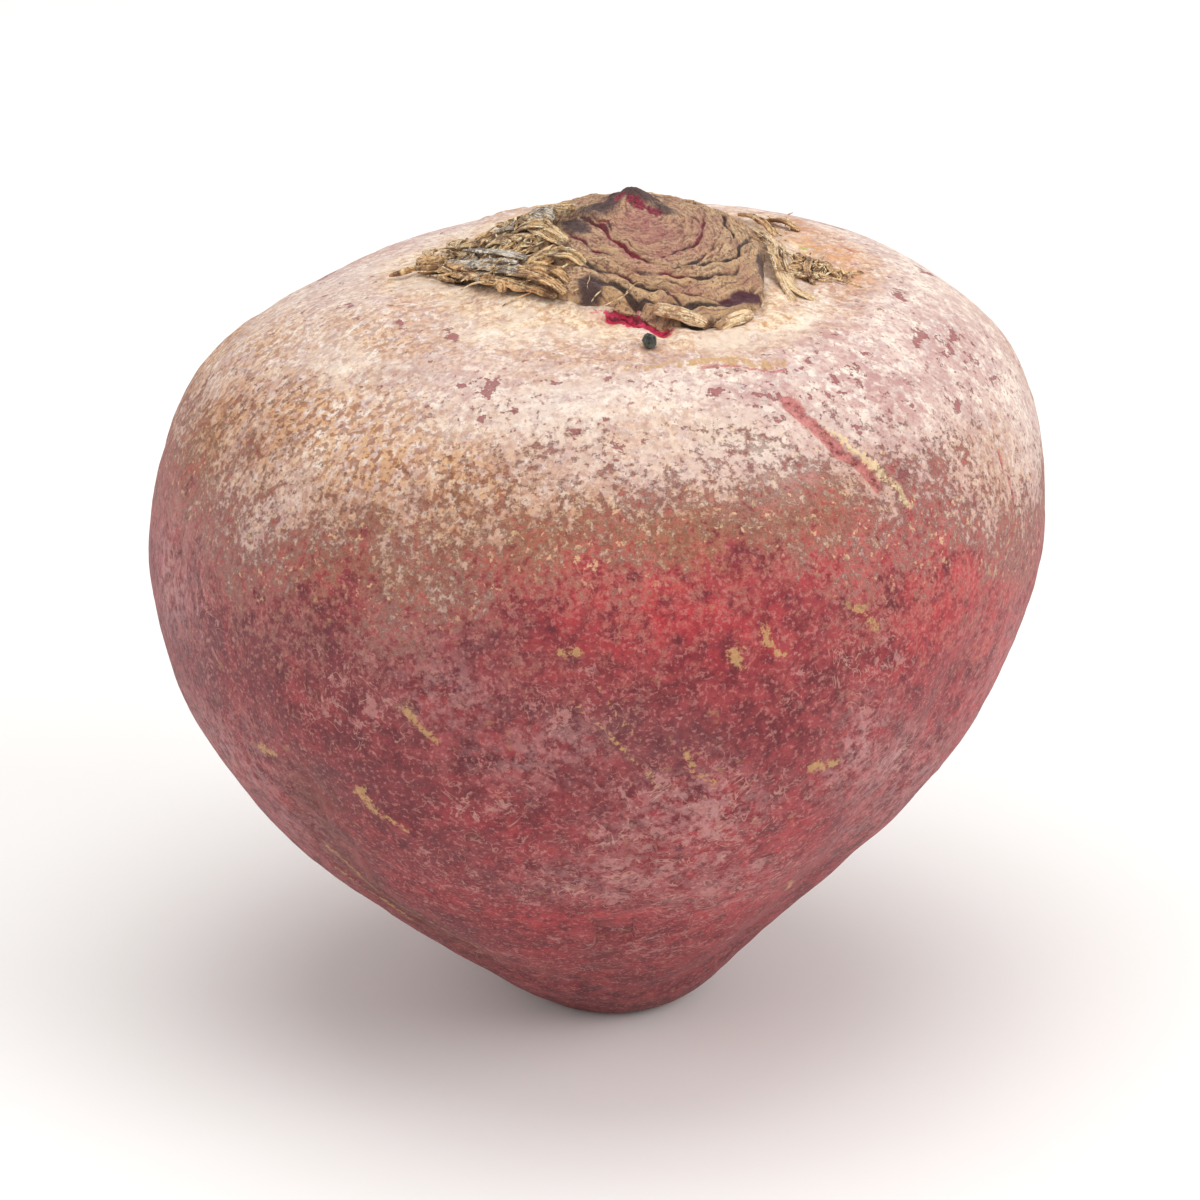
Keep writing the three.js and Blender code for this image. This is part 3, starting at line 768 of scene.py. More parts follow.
# Stalk bases by piece: the node each stands for, its finish, and its strips.
HUSKS = {
    "left_husk_outer": ("brown", [
        dict(route=[(-19, 6.4, 0.16), (-17, 1.5, 0.48), (-14.6, -3, 0.56), (-11.6, -7, 0.56),
                    (-8.2, -10.3, 0.4), (-5.6, -12.5, 0.08)], width=1.9, curl=-70, tilt=(5, 20), seed=1),
        dict(route=[(-10.4, -7.4, 0.48), (-8.2, -9.4, 0.96), (-6.2, -11.2, 0.8), (-4.8, -12.6, 0.16)],
             width=1.5, curl=110, tilt=(-10, 40), seed=2),
        dict(route=[(-16.6, 0.4, 0.72), (-14.8, -2.4, 0.88), (-13, -4.6, 0.64)],
             width=1.1, curl=90, tilt=(20, -10), seed=41),
        dict(route=[(-8.6, -8.4, 0.8), (-7, -9.4, 1.2), (-5.4, -10.4, 0.8), (-4.4, -11.6, 0.24)],
             width=1.1, curl=150, tilt=(-30, 20), seed=42),
    ]),
    "left_husk_fibrous": ("grey", [
        dict(route=[(-16, 1.6, 0.68), (-14, -2, 0.9), (-11.6, -5.4, 0.98), (-9.2, -8, 0.83),
                    (-7.2, -9.4, 0.45)], width=1.9, curl=-50, tilt=(10, 25), seed=3),
        dict(route=[(-14.2, 1, 1.05), (-12.4, -2.6, 1.27), (-10.2, -5.4, 1.2), (-8.2, -7.4, 0.83)],
             width=0.9, curl=60, tilt=(30, 0), seed=4),
        dict(route=[(-12.6, -4, 1.12), (-10.8, -6, 1.27), (-9, -7.4, 0.98)],
             width=0.7, curl=90, tilt=(0, 30), seed=43),
    ]),
    "left_husk_inner": ("tan", [
        dict(route=[(-9.2, 2.5, 0.45), (-8.2, -1.5, 0.78), (-6.4, -4.6, 0.72), (-4.8, -7, 0.26)],
             width=2, curl=110, tilt=(-20, 10), seed=5),
        dict(route=[(-6.8, -7.2, 0.39), (-5.4, -8.2, 0.85), (-4, -8.8, 0.72), (-2.9, -9.8, 0.13)],
             width=1.4, curl=150, tilt=(0, -20), seed=6),
        dict(route=[(-11.4, 1.4, 0.52), (-10.4, -1.8, 1.04), (-8.6, -3.6, 1.17), (-7.2, -4.6, 0.65)],
             width=1.3, curl=-120, tilt=(30, -10), seed=7),
        dict(route=[(-9.6, -2.4, 0.91), (-8, -3, 1.3), (-6.4, -3.8, 1.1), (-5.4, -5, 0.59)],
             width=1.2, curl=140, tilt=(10, -30), seed=44),
        dict(route=[(-12.2, -1.6, 0.78), (-10.8, -2.6, 1.23), (-9.6, -4, 1.1)],
             width=1, curl=120, tilt=(20, -20), seed=47),
    ]),
    "left_husk_papery": ("grey", [
        dict(route=[(-9.6, 4.4, 0.4), (-8, 2, 0.6), (-6.8, -0.2, 0.5), (-6, -2, 0.2)],
             width=2, curl=60, tilt=(15, -10), seed=9),
        dict(route=[(-11.6, 2.8, 0.5), (-10, 0.6, 0.75), (-8.8, -1.4, 0.75), (-8.2, -2.8, 0.45)],
             width=1.1, curl=100, tilt=(0, 30), seed=10),
    ]),
    "left_husk_back": ("tan", [
        dict(route=[(-17.4, 11.4, 0.06), (-18.4, 8, 0.54), (-18, 4.6, 0.6), (-16.8, 2, 0.3)],
             width=1.1, curl=150, tilt=(10, 30), seed=11),
        dict(route=[(-14.8, 12.6, 0.12), (-15.8, 8.4, 0.66), (-15.6, 4.4, 0.72), (-14.6, 1.6, 0.48)],
             width=1.4, curl=110, tilt=(0, 25), seed=12),
        dict(route=[(-11.4, 11.6, 0.18), (-13, 7, 0.72), (-13, 3, 0.78), (-12, 0, 0.6)],
             width=1.6, curl=-70, tilt=(20, 0), seed=13),
        dict(route=[(-6.4, 13.6, 0.12), (-9.6, 9.6, 0.54), (-10.8, 5.6, 0.66), (-10.4, 2.8, 0.48)],
             width=1.6, curl=80, tilt=(0, 20), seed=14),
        dict(route=[(-16.4, 6.2, 0.54), (-15.4, 4.4, 0.96), (-13.8, 3, 0.9), (-12.8, 1.2, 0.6)],
             width=1, curl=130, tilt=(10, -20), seed=48),
        dict(route=[(0, 15.4, 0.12), (-4, 14.8, 0.42), (-7.4, 12.4, 0.3)],
             width=1.5, curl=70, tilt=(0, 20), seed=49),
        dict(route=[(9.6, 14.2, 0.12), (5.6, 15.4, 0.42), (1.4, 15.6, 0.24)],
             width=1.6, curl=-80, tilt=(10, 0), seed=50),
    ]),
    "right_strap": ("pale", [
        dict(route=[(13.4, 11, 0.1), (14.6, 7, 0.5), (15, 3, 0.6), (15.3, -1.5, 0.5),
                    (16, -5.2, 0.3), (17.6, -8.4, -0.2)], width=1.3, curl=-60, tilt=(0, 0), seed=15),
        dict(route=[(15.4, 8, 0.1), (16.2, 5, 0.3), (16.4, 0.5, 0.3), (17.4, -4.4, -0.1)],
             width=0.9, curl=50, tilt=(-15, 10), seed=16),
        dict(route=[(15.6, -3, 0.3), (17, -5.6, 0.2), (19.4, -7.6, -0.1)],
             width=1.2, curl=40, tilt=(0, 0), seed=17),
    ]),
    "right_tuft": ("brown", [
        dict(route=[(12.4, 16.6, 0.1), (13.6, 14, 0.8), (14.8, 11.2, 0.9), (15.6, 9, 0.3)],
             width=1.1, curl=130, tilt=(20, -10), seed=18),
        dict(route=[(15, 15, 0.1), (16.6, 13.4, 0.6), (18.4, 12.4, 0)],
             width=1.1, curl=90, tilt=(0, 10), seed=19),
        dict(route=[(18.4, 5, -0.1), (19, 2.4, 0.4), (18.6, -0.6, 0.3), (19.4, -3, -0.2)],
             width=0.8, curl=110, tilt=(20, -10), seed=20),
        dict(route=[(21, 3.4, -0.1), (21, 1, 0.2), (22, -1.2, -0.2)],
             width=0.7, curl=80, tilt=(0, 0), seed=21),
    ]),
    "front_lip_left": ("pale", [
        dict(route=[(3.6, -14.6, 0.2), (5.2, -15.2, 0.8), (7, -15.7, 0.9), (8.7, -16, 0.4)],
             width=1.9, curl=-150, tilt=(-20, -10), thick=0.5, seed=22),
    ]),
    "front_lip_right": ("pale", [
        dict(route=[(9.5, -16.6, 0.3), (10.7, -15.7, 0.8), (12, -14.2, 0.7), (13, -12.7, 0.2)],
             width=1.9, curl=-140, tilt=(0, -15), thick=0.5, seed=23),
    ]),
}


# Small torn flakes that lie every way among the strips, by piece: middle, spread, how many,
# least and greatest height above the crown, least and greatest length.
FLAKES = {
    "left_husk_outer": [
        ((-9, -7.4), (2.6, 2), 8, (0.1, 0.8), (1.6, 3)),
        ((-14.6, -1.6), (2, 2), 7, (0.1, 0.7), (1.6, 3)),
    ],
    "left_husk_fibrous": [((-11.6, -3), (4, 3), 8, (0.3, 1), (1.6, 3.4))],
    "left_husk_inner": [((-8, -4.4), (3, 3.6), 26, (0.2, 1.1), (1.6, 3.4))],
    "left_husk_papery": [((-10.6, 0), (2.6, 2.6), 10, (0, 0.4), (1.6, 3))],
    "left_husk_back": [((-14, 4), (3.6, 4), 16, (0.1, 0.5), (1.6, 3.6))],
    "right_tuft": [((19, 1.6), (2, 4), 8, (0, 0.3), (1, 2))],
}


def flakes(name):
    """Short curled strips with headings at random: each runs from its start through a
    middle that is lifted to an end that dips, all drawn in a set order."""
    draw = np.random.default_rng(sum(map(ord, name)))
    made = []
    for middle, spread, count, lifts, lengths in FLAKES.get(name, []):
        for _ in range(count):
            x, y = np.array(middle) + np.array(spread) * draw.uniform(-1, 1, 2)
            heading = draw.uniform(0, 2 * np.pi)
            turned = heading + draw.normal(0, 0.6)
            half = draw.uniform(*lengths) / 2
            lift = draw.uniform(*lifts)
            route = [
                (x - half * np.cos(heading), y - half * np.sin(heading), lift * 0.5),
                (x, y, lift),
                (x + half * np.cos(turned), y + half * np.sin(turned), lift * 0.7),
            ]
            made.append(husk(
                route, draw.uniform(0.5, 1.5), curl=draw.choice((-1, 1)) * draw.uniform(40, 170),
                tilt=tuple(draw.uniform(-50, 50, 2)), thick=0.2, seed=int(draw.integers(100, 999)),
                rows=34, around=20,
            ))
    return made


def build_husks(finishes):
    """One piece for each husk, its strips and flakes joined."""
    for name, (finish, strips) in HUSKS.items():
        points, faces = join_tubes([husk(**strip) for strip in strips] + flakes(name))
        add_object(
            name + "_torn", points[:, :3], faces, uv=points[:, 3:], material=finishes[finish],
            node=name,
        )


# Loose fibres by place: middle, spread, heading in degrees, length, how many, radius.
FIBRES = [
    ((-13, -1, 1), (3, 3, 0.5), 125, 4.4, 22, 0.08),
    ((-9, -6, 1), (2.6, 2.4, 0.5), 140, 3.6, 22, 0.08),
    ((-15, 5, 0.4), (2.6, 3.4, 0.2), 110, 3, 14, 0.08),
    ((-8, 0, 0.5), (2.2, 2.6, 0.3), 120, 2.6, 14, 0.07),
    ((-6, -10.6, 0.6), (2, 1.4, 0.3), 150, 2.8, 10, 0.07),
    ((19, 1, 0.2), (1.8, 3.4, 0.2), 80, 2.8, 34, 0.08),
    ((21, 0, 0.1), (1.8, 2, 0.1), 30, 2.4, 24, 0.08),
    ((19.6, 0.5, 0.2), (1.6, 2.6, 0.2), 140, 2, 20, 0.08),
    ((-11, -3, 0.9), (4, 3.4, 0.4), 60, 2.6, 30, 0.1),
    ((-12, 2, 0.7), (4, 4, 0.3), 160, 3, 26, 0.1),
    ((16, 11, 0.3), (1.4, 2.6, 0.3), 100, 3.2, 12, 0.08),
    ((15.6, -2, 0.6), (0.7, 4, 0.3), 86, 4, 12, 0.06),
    ((2, -13, 0.4), (5, 1, 0.2), 178, 2.4, 8, 0.05),
    ((0, 14, 0.2), (8, 1.6, 0.2), 0, 3.4, 18, 0.08),
]


def build_fibres(material):
    """Single fibres scattered round the places listed, each a short wavy route."""
    draw = np.random.default_rng(5)
    tubes = []
    for middle, spread, heading, length, count, radius in FIBRES:
        for _ in range(count):
            start = np.array(middle) + np.array(spread) * draw.uniform(-1, 1, 3)
            angle = np.radians(heading + draw.normal(0, 24))
            reach = length * draw.uniform(0.5, 1.1)
            route = [start]
            for _ in range(3):
                angle += draw.normal(0, 0.35)
                step = [np.cos(angle), np.sin(angle), draw.normal(-0.05, 0.18)]
                route.append(route[-1] + reach / 3 * np.array(step))
            tubes.append(strand(route, radius * draw.uniform(0.6, 1.3)))
    points, faces = join_tubes(tubes)
    return add_object(
        "loose_fibres", points[:, :3], faces, uv=points[:, 3:], material=material
    )


def knob(middle, axis, sizes, seed, rows=40, around=40):
    """A lumpy bud: an ellipsoid along an axis, its radius changed by lumps."""
    axis = np.array(axis, float) / np.linalg.norm(axis)
    side = np.cross(axis, (0.3, 0.9, 0.2))
    side /= np.linalg.norm(side)
    other = np.cross(axis, side)
    polar = np.linspace(0.06, np.pi - 0.06, rows)[:, None]
    turn = (np.arange(around) / around * 2 * np.pi)[None]
    ball = np.stack([
        np.sin(polar) * np.cos(turn), np.sin(polar) * np.sin(turn), np.cos(polar) + 0 * turn
    ], -1)
    swell = 1 + 0.16 * rough(ball, 0.7, 3, seed) + 0.1 * rough(ball * (2, 2, 0.4), 0.5, 2, seed + 1)
    ball = ball * swell[..., None] * np.array(sizes)
    points = np.array(middle) + ball[..., :1] * side + ball[..., 1:2] * other + ball[..., 2:] * axis
    uv = np.stack([ball[..., 2] * 2, ball[..., 0] * 3 + seed], -1)
    return np.concatenate([points, uv], -1)


def build_buds(dark, brown):
    bud_middle, bud_up = crown_route([(3.2, -20.3, 0.5), (3.2, -20.2, 0.6)], np.array([0.0]))
    points, faces = join_tubes([knob(bud_middle[0], bud_up[0] + (0, -0.4, 0), (0.65, 0.6, 0.85), 3)])
    add_object("front_bud_dry", points[:, :3], faces, uv=points[:, 3:], material=dark,
               node="front_bud")
    stub_middle, _ = crown_route([(-17.9, 1, 0.9), (-17.9, 1, 0.9)], np.array([0.0]))
    tail = strand([(-18.6, 1.4, 0.8), (-19.8, 1.8, 0.6), (-20.8, 1.6, 0.5), (-22.2, 2.4, 0.2)], 0.26,
                  rows=40, around=10)
    stalk = husk([(-17.6, 3, 0.7), (-18.2, 5.6, 0.6), (-18, 8, 0.1)], 1, curl=120, seed=31)
    points, faces = join_tubes([knob(stub_middle[0], (1, 0.3, 0.1), (0.95, 0.9, 1.5), 9), tail, stalk])
    add_object("left_stub_dry", points[:, :3], faces, uv=points[:, 3:], material=brown,
               node="left_stub")


# ------------------------------------------------------------------ shader building


def paint(red, green, blue):
    """A colour from its 8-bit display values, as the linear colour that shaders take."""
    shown = np.array([red, green, blue]) / 255
    linear = np.where(shown <= 0.04045, shown / 12.92, ((shown + 0.055) / 1.055) ** 2.4)
    return (*linear, 1.0)


class Graph:
    """Short calls for the nodes of one material or group. Every call gives an output, and
    takes outputs, numbers or colours."""

    def __init__(self, tree):
        self.tree = tree

    def add(self, kind, settings=None, **inputs):
        node = self.tree.nodes.new(kind)
        for key, value in (settings or {}).items():
            setattr(node, key, value)
        for key, value in inputs.items():
            self.plug(value, node.inputs[key.replace("_", " ")])
        return node

    def plug(self, value, socket):
        if isinstance(value, bpy.types.NodeSocket):
            self.tree.links.new(value, socket)
        else:
            socket.default_value = value

    def math(self, operation, a, b=0.0, clamp=False):
        node = self.add("ShaderNodeMath", {"operation": operation, "use_clamp": clamp})
        self.plug(a, node.inputs[0])
        self.plug(b, node.inputs[1])
        return node.outputs[0]

    def times(self, a, b):
        return self.math("MULTIPLY", a, b)

    def plus(self, a, b):
        return self.math("ADD", a, b)

    def without(self, a, b):
        """a where b is 0, nothing where b is 1."""
        return self.times(a, self.math("SUBTRACT", 1.0, b))

    def mix(self, share, a, b):
        node = self.tree.nodes.new("ShaderNodeMix")
        node.data_type = "RGBA"
        self.plug(share, node.inputs[0])
        self.plug(a, node.inputs[6])
        self.plug(b, node.inputs[7])
        return node.outputs[2]

    def coat(self, colour, where, share, paint_colour):
        """A share of another colour laid over this one, where a mask says."""
        return self.mix(self.times(where, share), colour, paint_colour)

    def step(self, value, low, high, start=0.0, end=1.0):
        """start below low, end above high, S-shaped between."""
        node = self.add("ShaderNodeMapRange", {"interpolation_type": "SMOOTHSTEP"}, Value=value)
        for key, number in (("From Min", low), ("From Max", high), ("To Min", start), ("To Max", end)):
            self.plug(number, node.inputs[key])
        return node.outputs[0]

    def noise(self, place, size, detail=2.0, roughness=0.5, twist=0.0):
        """Lumps of about that size in millimetres, around 0.5."""
        node = self.add(
            "ShaderNodeTexNoise", Vector=place, Scale=1 / size, Detail=detail,
            Roughness=roughness, Distortion=twist,
        )
        return node.outputs["Fac"]

    def value(self, name):
        return self.add("ShaderNodeAttribute", {"attribute_name": name}).outputs["Fac"]

    def ragged(self, name, grit, share, low, high):
        """A painted mask with a grainy edge: share times the mask plus the grit, stepped."""
        return self.step(self.plus(self.times(self.value(name), share), grit), low, high)

    def group(self, group, **inputs):
        node = self.add("ShaderNodeGroup", {"node_tree": group})
        for key, value in inputs.items():
            self.plug(value, node.inputs[key])
        return node.outputs[0]

    def place(self, shift=(0, 0, 0)):
        """Object coordinates in millimetres."""
        where = self.add("ShaderNodeTexCoord").outputs["Object"]
        mapping = self.add("ShaderNodeMapping", Vector=where, Scale=(1 / MM,) * 3, Location=shift)
        return mapping.outputs[0]


def new_group(name, inputs, output):
    """An empty node group with number or vector inputs and one number output."""
    group = bpy.data.node_groups.new(name, "ShaderNodeTree")
    for key, default in inputs.items():
        kind = "NodeSocketVector" if default is None else "NodeSocketFloat"
        socket = group.interface.new_socket(key, in_out="INPUT", socket_type=kind)
        if default is not None:
            socket.default_value = default
    group.interface.new_socket(output, in_out="OUTPUT", socket_type="NodeSocketFloat")
    graph = Graph(group)
    entry = group.nodes.new("NodeGroupInput")
    leave = group.nodes.new("NodeGroupOutput")
    return group, graph, entry.outputs, leave.inputs[0]


def speckle_group():
    """Grains: fractal lumps cut off at a level that Cover sets, with an edge of Softness."""
    group, g, given, result = new_group(
        "Speckle", {"Place": None, "Grain": 1.0, "Cover": 0.5, "Softness": 0.05}, "Mask"
    )
    scale = g.math("DIVIDE", 1.0, given["Grain"])
    node = g.add("ShaderNodeTexNoise", Vector=given["Place"], Scale=scale, Detail=3.0, Roughness=0.6)
    level = g.plus(0.78, g.times(given["Cover"], -0.56))
    low = g.math("SUBTRACT", level, given["Softness"])
    high = g.plus(level, given["Softness"])
    g.plug(g.step(node.outputs["Fac"], low, high), result)
    return group


def thread_group():
    """Thin wandering threads: the places where twisted lumps cross their middle value,
    within Width, and broken up by a second set of lumps."""
    group, g, given, result = new_group(
        "Threads", {"Place": None, "Spacing": 3.0, "Width": 0.02, "Cover": 0.5}, "Mask"
    )
    scale = g.math("DIVIDE", 1.0, given["Spacing"])
    lines = g.add(
        "ShaderNodeTexNoise", Vector=given["Place"], Scale=scale, Detail=2.5, Roughness=0.55,
        Distortion=0.8,
    )
    away = g.math("ABSOLUTE", g.math("SUBTRACT", lines.outputs["Fac"], 0.5))
    thin = g.step(away, g.times(given["Width"], 0.3), given["Width"], 1.0, 0.0)
    shifted = g.add("ShaderNodeMapping", Vector=given["Place"], Location=(37, 11, 5)).outputs[0]
    gaps = g.add(
        "ShaderNodeTexNoise", Vector=shifted, Scale=g.times(scale, 1.3), Detail=2.0, Roughness=0.6
    )
    level = g.plus(0.75, g.times(given["Cover"], -0.5))
    g.plug(g.times(thin, g.step(gaps.outputs["Fac"], level, g.plus(level, 0.06))), result)
    return group


def fibre_group():
    """Fibres that run along the first coordinate: lumps stretched by Stretch along it."""
    group, g, given, result = new_group(
        "Fibres", {"Place": None, "Fineness": 0.25, "Stretch": 12.0}, "Height"
    )
    scale = g.math("DIVIDE", 1.0, given["Fineness"])
    parts = g.add("ShaderNodeSeparateXYZ", Vector=given["Place"])
    squeezed = g.math("DIVIDE", parts.outputs[0], given["Stretch"])
    joined = g.add("ShaderNodeCombineXYZ", X=squeezed, Y=parts.outputs[1], Z=parts.outputs[2])
    node = g.add(
        "ShaderNodeTexNoise", Vector=joined.outputs[0], Scale=scale, Detail=3.0, Roughness=0.6,
        Distortion=0.3,
    )
    g.plug(node.outputs["Fac"], result)
    return group


SPECKLE, THREADS, FIBRES_GROUP = speckle_group(), thread_group(), fibre_group()


def new_material(name, sheen=0.0, sheen_roughness=0.5, specular=0.5):
    material = bpy.data.materials.new(name)
    material.use_nodes = True
    graph = Graph(material.node_tree)
    shader = material.node_tree.nodes["Principled BSDF"]
    shader.inputs["Sheen Weight"].default_value = sheen
    shader.inputs["Sheen Roughness"].default_value = sheen_roughness
    shader.inputs["Specular IOR Level"].default_value = specular
    return material, graph, shader


def finish_material(graph, shader, colour, roughness, height, depth=0.3):
    """Colour, roughness, and a bump of a height in shares of depth millimetres."""
    graph.plug(colour, shader.inputs["Base Color"])
    graph.plug(roughness, shader.inputs["Roughness"])
    bump = graph.add("ShaderNodeBump", Height=height, Distance=depth * MM, Strength=1.0)
    graph.plug(bump.outputs[0], shader.inputs["Normal"])


def skin_material():
    """Crimson skin under a dusty corky layer that breaks up into grains at its edge."""
    material, g, shader = new_material("dusty_root_skin", sheen=0.04, specular=0.28)
    place = g.place()
    cloud = g.noise(place, 7, 4, 0.6)
    fine = g.noise(place, 0.35, 3, 0.7)
    mottle = g.noise(place, 2.2, 5, 0.7)
    crimson, plum_and_painted_shade, veil = g.value("crimson"), g.value("plum_and_painted_shade"), g.value("veil")

    # Bare skin
    low = g.mix(g.step(mottle, 0.36, 0.66), paint(100, 34, 42), paint(156, 62, 66))
    red = g.times(crimson, g.step(g.noise(place, 1.6, 4, 0.65), 0.34, 0.6))
    low = g.mix(g.times(red, 0.8), low, paint(190, 54, 62))
    # Plum tone, and painted shade low on the front and front left.
    shade = g.times(plum_and_painted_shade, g.step(cloud, 0.3, 0.6))
    low = g.mix(g.times(shade, 0.75), low, paint(104, 54, 60))
    ragged = g.noise(place, 2.6, 6, 0.76, twist=0.3)
    scuffed = g.value("scuffed")
    peel_level = g.plus(0.66, g.times(scuffed, -0.15))
    peel = g.step(ragged, peel_level, g.plus(peel_level, 0.025))
    low = g.mix(g.times(peel, 0.6), low, paint(190, 136, 130))
    deep = g.step(ragged, 0.40, 0.34)
    low = g.mix(g.times(deep, 0.5), low, paint(110, 30, 42))
    dusty = g.times(veil, g.step(g.noise(place, 1.2, 3, 0.75), 0.38, 0.62))
    low = g.mix(g.times(dusty, 0.75), low, paint(196, 148, 146))
    pale_grain = g.group(SPECKLE, Place=place, Grain=0.45, Cover=0.34, Softness=0.05)
    low = g.mix(g.times(pale_grain, 0.45), low, paint(198, 132, 126))
    dark_grain = g.group(SPECKLE, Place=g.place((9, 4, 2)), Grain=0.7, Cover=0.3, Softness=0.04)
    low = g.mix(g.times(dark_grain, 0.5), low, paint(88, 32, 40))
    threads = g.group(THREADS, Place=place, Spacing=2.6, Width=0.018, Cover=0.58)
    scuff = g.times(g.step(scuffed, 0.15, 0.75), threads)
    low = g.mix(g.times(scuff, 0.6), low, paint(206, 156, 142))
    olive = g.group(SPECKLE, Place=g.place((3, 1, 8)), Grain=1.5, Cover=0.18, Softness=0.03)
    low = g.mix(g.times(olive, 0.45), low, paint(166, 122, 88))

    # Dusty corky layer
    ochre = g.value("ochre")
    grit = g.noise(place, 0.8, 5, 0.78)
    high = g.mix(g.step(cloud, 0.35, 0.62), paint(208, 188, 178), paint(236, 222, 208))
    lilac = g.group(SPECKLE, Place=g.place((2, 7, 4)), Grain=2.2, Cover=0.46, Softness=0.10)
    high = g.mix(g.times(lilac, 0.6), high, paint(188, 164, 164))
    chalk = g.group(SPECKLE, Place=g.place((7, 3, 5)), Grain=1.1, Cover=0.40, Softness=0.06)
    high = g.mix(g.times(chalk, 0.6), high, paint(244, 234, 222))
    stain = g.times(ochre, g.step(g.noise(place, 1.1, 3, 0.75), 0.38, 0.58))
    high = g.mix(g.times(stain, 0.85), high, paint(210, 158, 98))
    brown = g.group(SPECKLE, Place=g.place((1, 3, 6)), Grain=0.7, Cover=0.44, Softness=0.04)
    high = g.mix(g.times(g.times(brown, ochre), 0.85), high, paint(138, 86, 54))
    pins = g.group(SPECKLE, Place=g.place((6, 2, 9)), Grain=0.5, Cover=0.40, Softness=0.05)
    high = g.mix(g.times(pins, 0.6), high, paint(178, 140, 132))
    dots = g.group(SPECKLE, Place=g.place((4, 4, 1)), Grain=0.9, Cover=0.22, Softness=0.03)
    high = g.mix(g.times(dots, 0.8), high, paint(140, 92, 86))
    rosy = g.group(SPECKLE, Place=g.place((2, 9, 6)), Grain=1.4, Cover=0.52, Softness=0.06)
    high = g.mix(g.times(g.times(plum_and_painted_shade, rosy), 0.75), high, paint(176, 124, 122))

    dust = g.value("dust")
    thick = g.step(dust, 0.45, 0.9)
    high = g.mix(g.without(0.36, thick), high, g.mix(ochre, paint(184, 142, 132), paint(190, 146, 112)))

    # The layer's edge: coarse and fine grains together, cut off at a level that falls as
    # the dust gets thicker, over a thinner film of the same dust that reaches further down
    coarse = g.noise(place, 4, 4, 0.6)
    grains = g.plus(g.times(coarse, 0.3), g.times(grit, 0.7))
    level = g.plus(0.70, g.times(dust, -0.40))
    cover = g.step(grains, g.plus(level, -0.04), g.plus(level, 0.06))
    film_level = g.plus(0.63, g.times(dust, -0.42))
    film = g.step(grains, g.plus(film_level, -0.08), g.plus(film_level, 0.10))
    tan = g.mix(ochre, paint(196, 134, 120), paint(194, 138, 92))
    tan = g.mix(g.times(brown, 0.4), tan, paint(142, 82, 62))
    colour = g.mix(g.times(film, 0.62), low, tan)
    colour = g.mix(g.times(cover, g.plus(0.6, g.times(thick, 0.34))), colour, high)
    edge = g.times(g.step(dust, 0.22, 0.42), g.step(dust, 0.8, 0.6))
    bright_grain = g.group(SPECKLE, Place=g.place((8, 8, 3)), Grain=0.8, Cover=0.26, Softness=0.03)
    colour = g.coat(colour, g.times(edge, bright_grain), 0.75, paint(220, 182, 142))
    chalky = g.times(g.value("chalky"), g.step(g.noise(place, 1.6, 3, 0.7), 0.34, 0.56))
    colour = g.coat(colour, chalky, 0.75, paint(242, 230, 214))

    # Peeled flecks, scars, scrapes, the corky rim, stains, painted shadow under the crown's edge, and
    # darkening in the left furrow and at the foot
    peeled = g.value("flecked")
    fleck_level = g.plus(0.72, g.times(peeled, -0.26))
    torn_grains = g.noise(place, 1.5, 5, 0.66)
    fleck = g.times(g.step(torn_grains, fleck_level, g.plus(fleck_level, 0.03)), g.step(dust, 0.3, 0.5))
    colour = g.coat(colour, fleck, 0.85, g.mix(cloud, paint(158, 92, 88), paint(146, 78, 84)))
    rim = g.times(g.value("rim"), g.step(g.noise(place, 1.8, 3, 0.7), 0.28, 0.6))
    cork = g.mix(g.step(grit, 0.38, 0.6), paint(188, 142, 96), paint(248, 230, 200))
    cork = g.mix(g.step(cloud, 0.5, 0.62), cork, paint(222, 204, 184))
    colour = g.coat(colour, rim, 0.75, cork)
    stained = g.times(g.value("stain"), g.step(mottle, 0.35, 0.6))
    colour = g.coat(colour, stained, 0.8, paint(206, 142, 84))
    green = g.ragged("green", grit, 0.5, 0.8, 0.92)
    colour = g.mix(green, colour, paint(150, 176, 72))
    bare = g.ragged("bare", grit, 0.6, 0.78, 0.94)
    sore = g.mix(g.step(grit, 0.36, 0.62), paint(134, 56, 60), paint(196, 122, 116))
    colour = g.coat(colour, bare, 0.9, sore)
    flesh = g.ragged("flesh", grit, 0.6, 0.68, 0.82)
    colour = g.mix(flesh, colour, g.mix(g.step(grit, 0.4, 0.6), paint(96, 8, 28), paint(206, 46, 84)))
    torn = g.ragged("torn", grit, 0.45, 0.79, 0.88)
    colour = g.coat(colour, torn, 0.9, g.mix(fine, paint(212, 172, 122), paint(240, 220, 184)))
    scraped = g.ragged("scraped", grit, 0.42, 0.8, 0.9)
    colour = g.coat(colour, scraped, 0.8, g.mix(fine, paint(150, 106, 60), paint(220, 180, 126)))
    # Dark brown: painted shadow in the gap under the crown's edge, and darker in the left furrow and
    # towards the foot.
    shadow_and_darkening = g.times(g.value("shadow_and_darkening"), g.step(g.noise(place, 1.1, 3, 0.75), 0.3, 0.6))
    colour = g.coat(colour, shadow_and_darkening, 0.65, paint(92, 62, 48))

    roughness = g.plus(g.times(cover, 0.25), g.plus(0.5, g.times(fine, 0.2)))
    roughness = g.without(roughness, g.times(flesh, 0.6))
    height = g.plus(
        g.plus(g.times(cover, 0.35), g.times(fine, 0.35)),
        g.plus(g.times(mottle, 0.4), g.times(scuff, 0.15)),
    )
    height = g.math("SUBTRACT", height, g.times(fleck, 0.3))
    finish_material(g, shader, colour, roughness, height, depth=0.32)
    return material


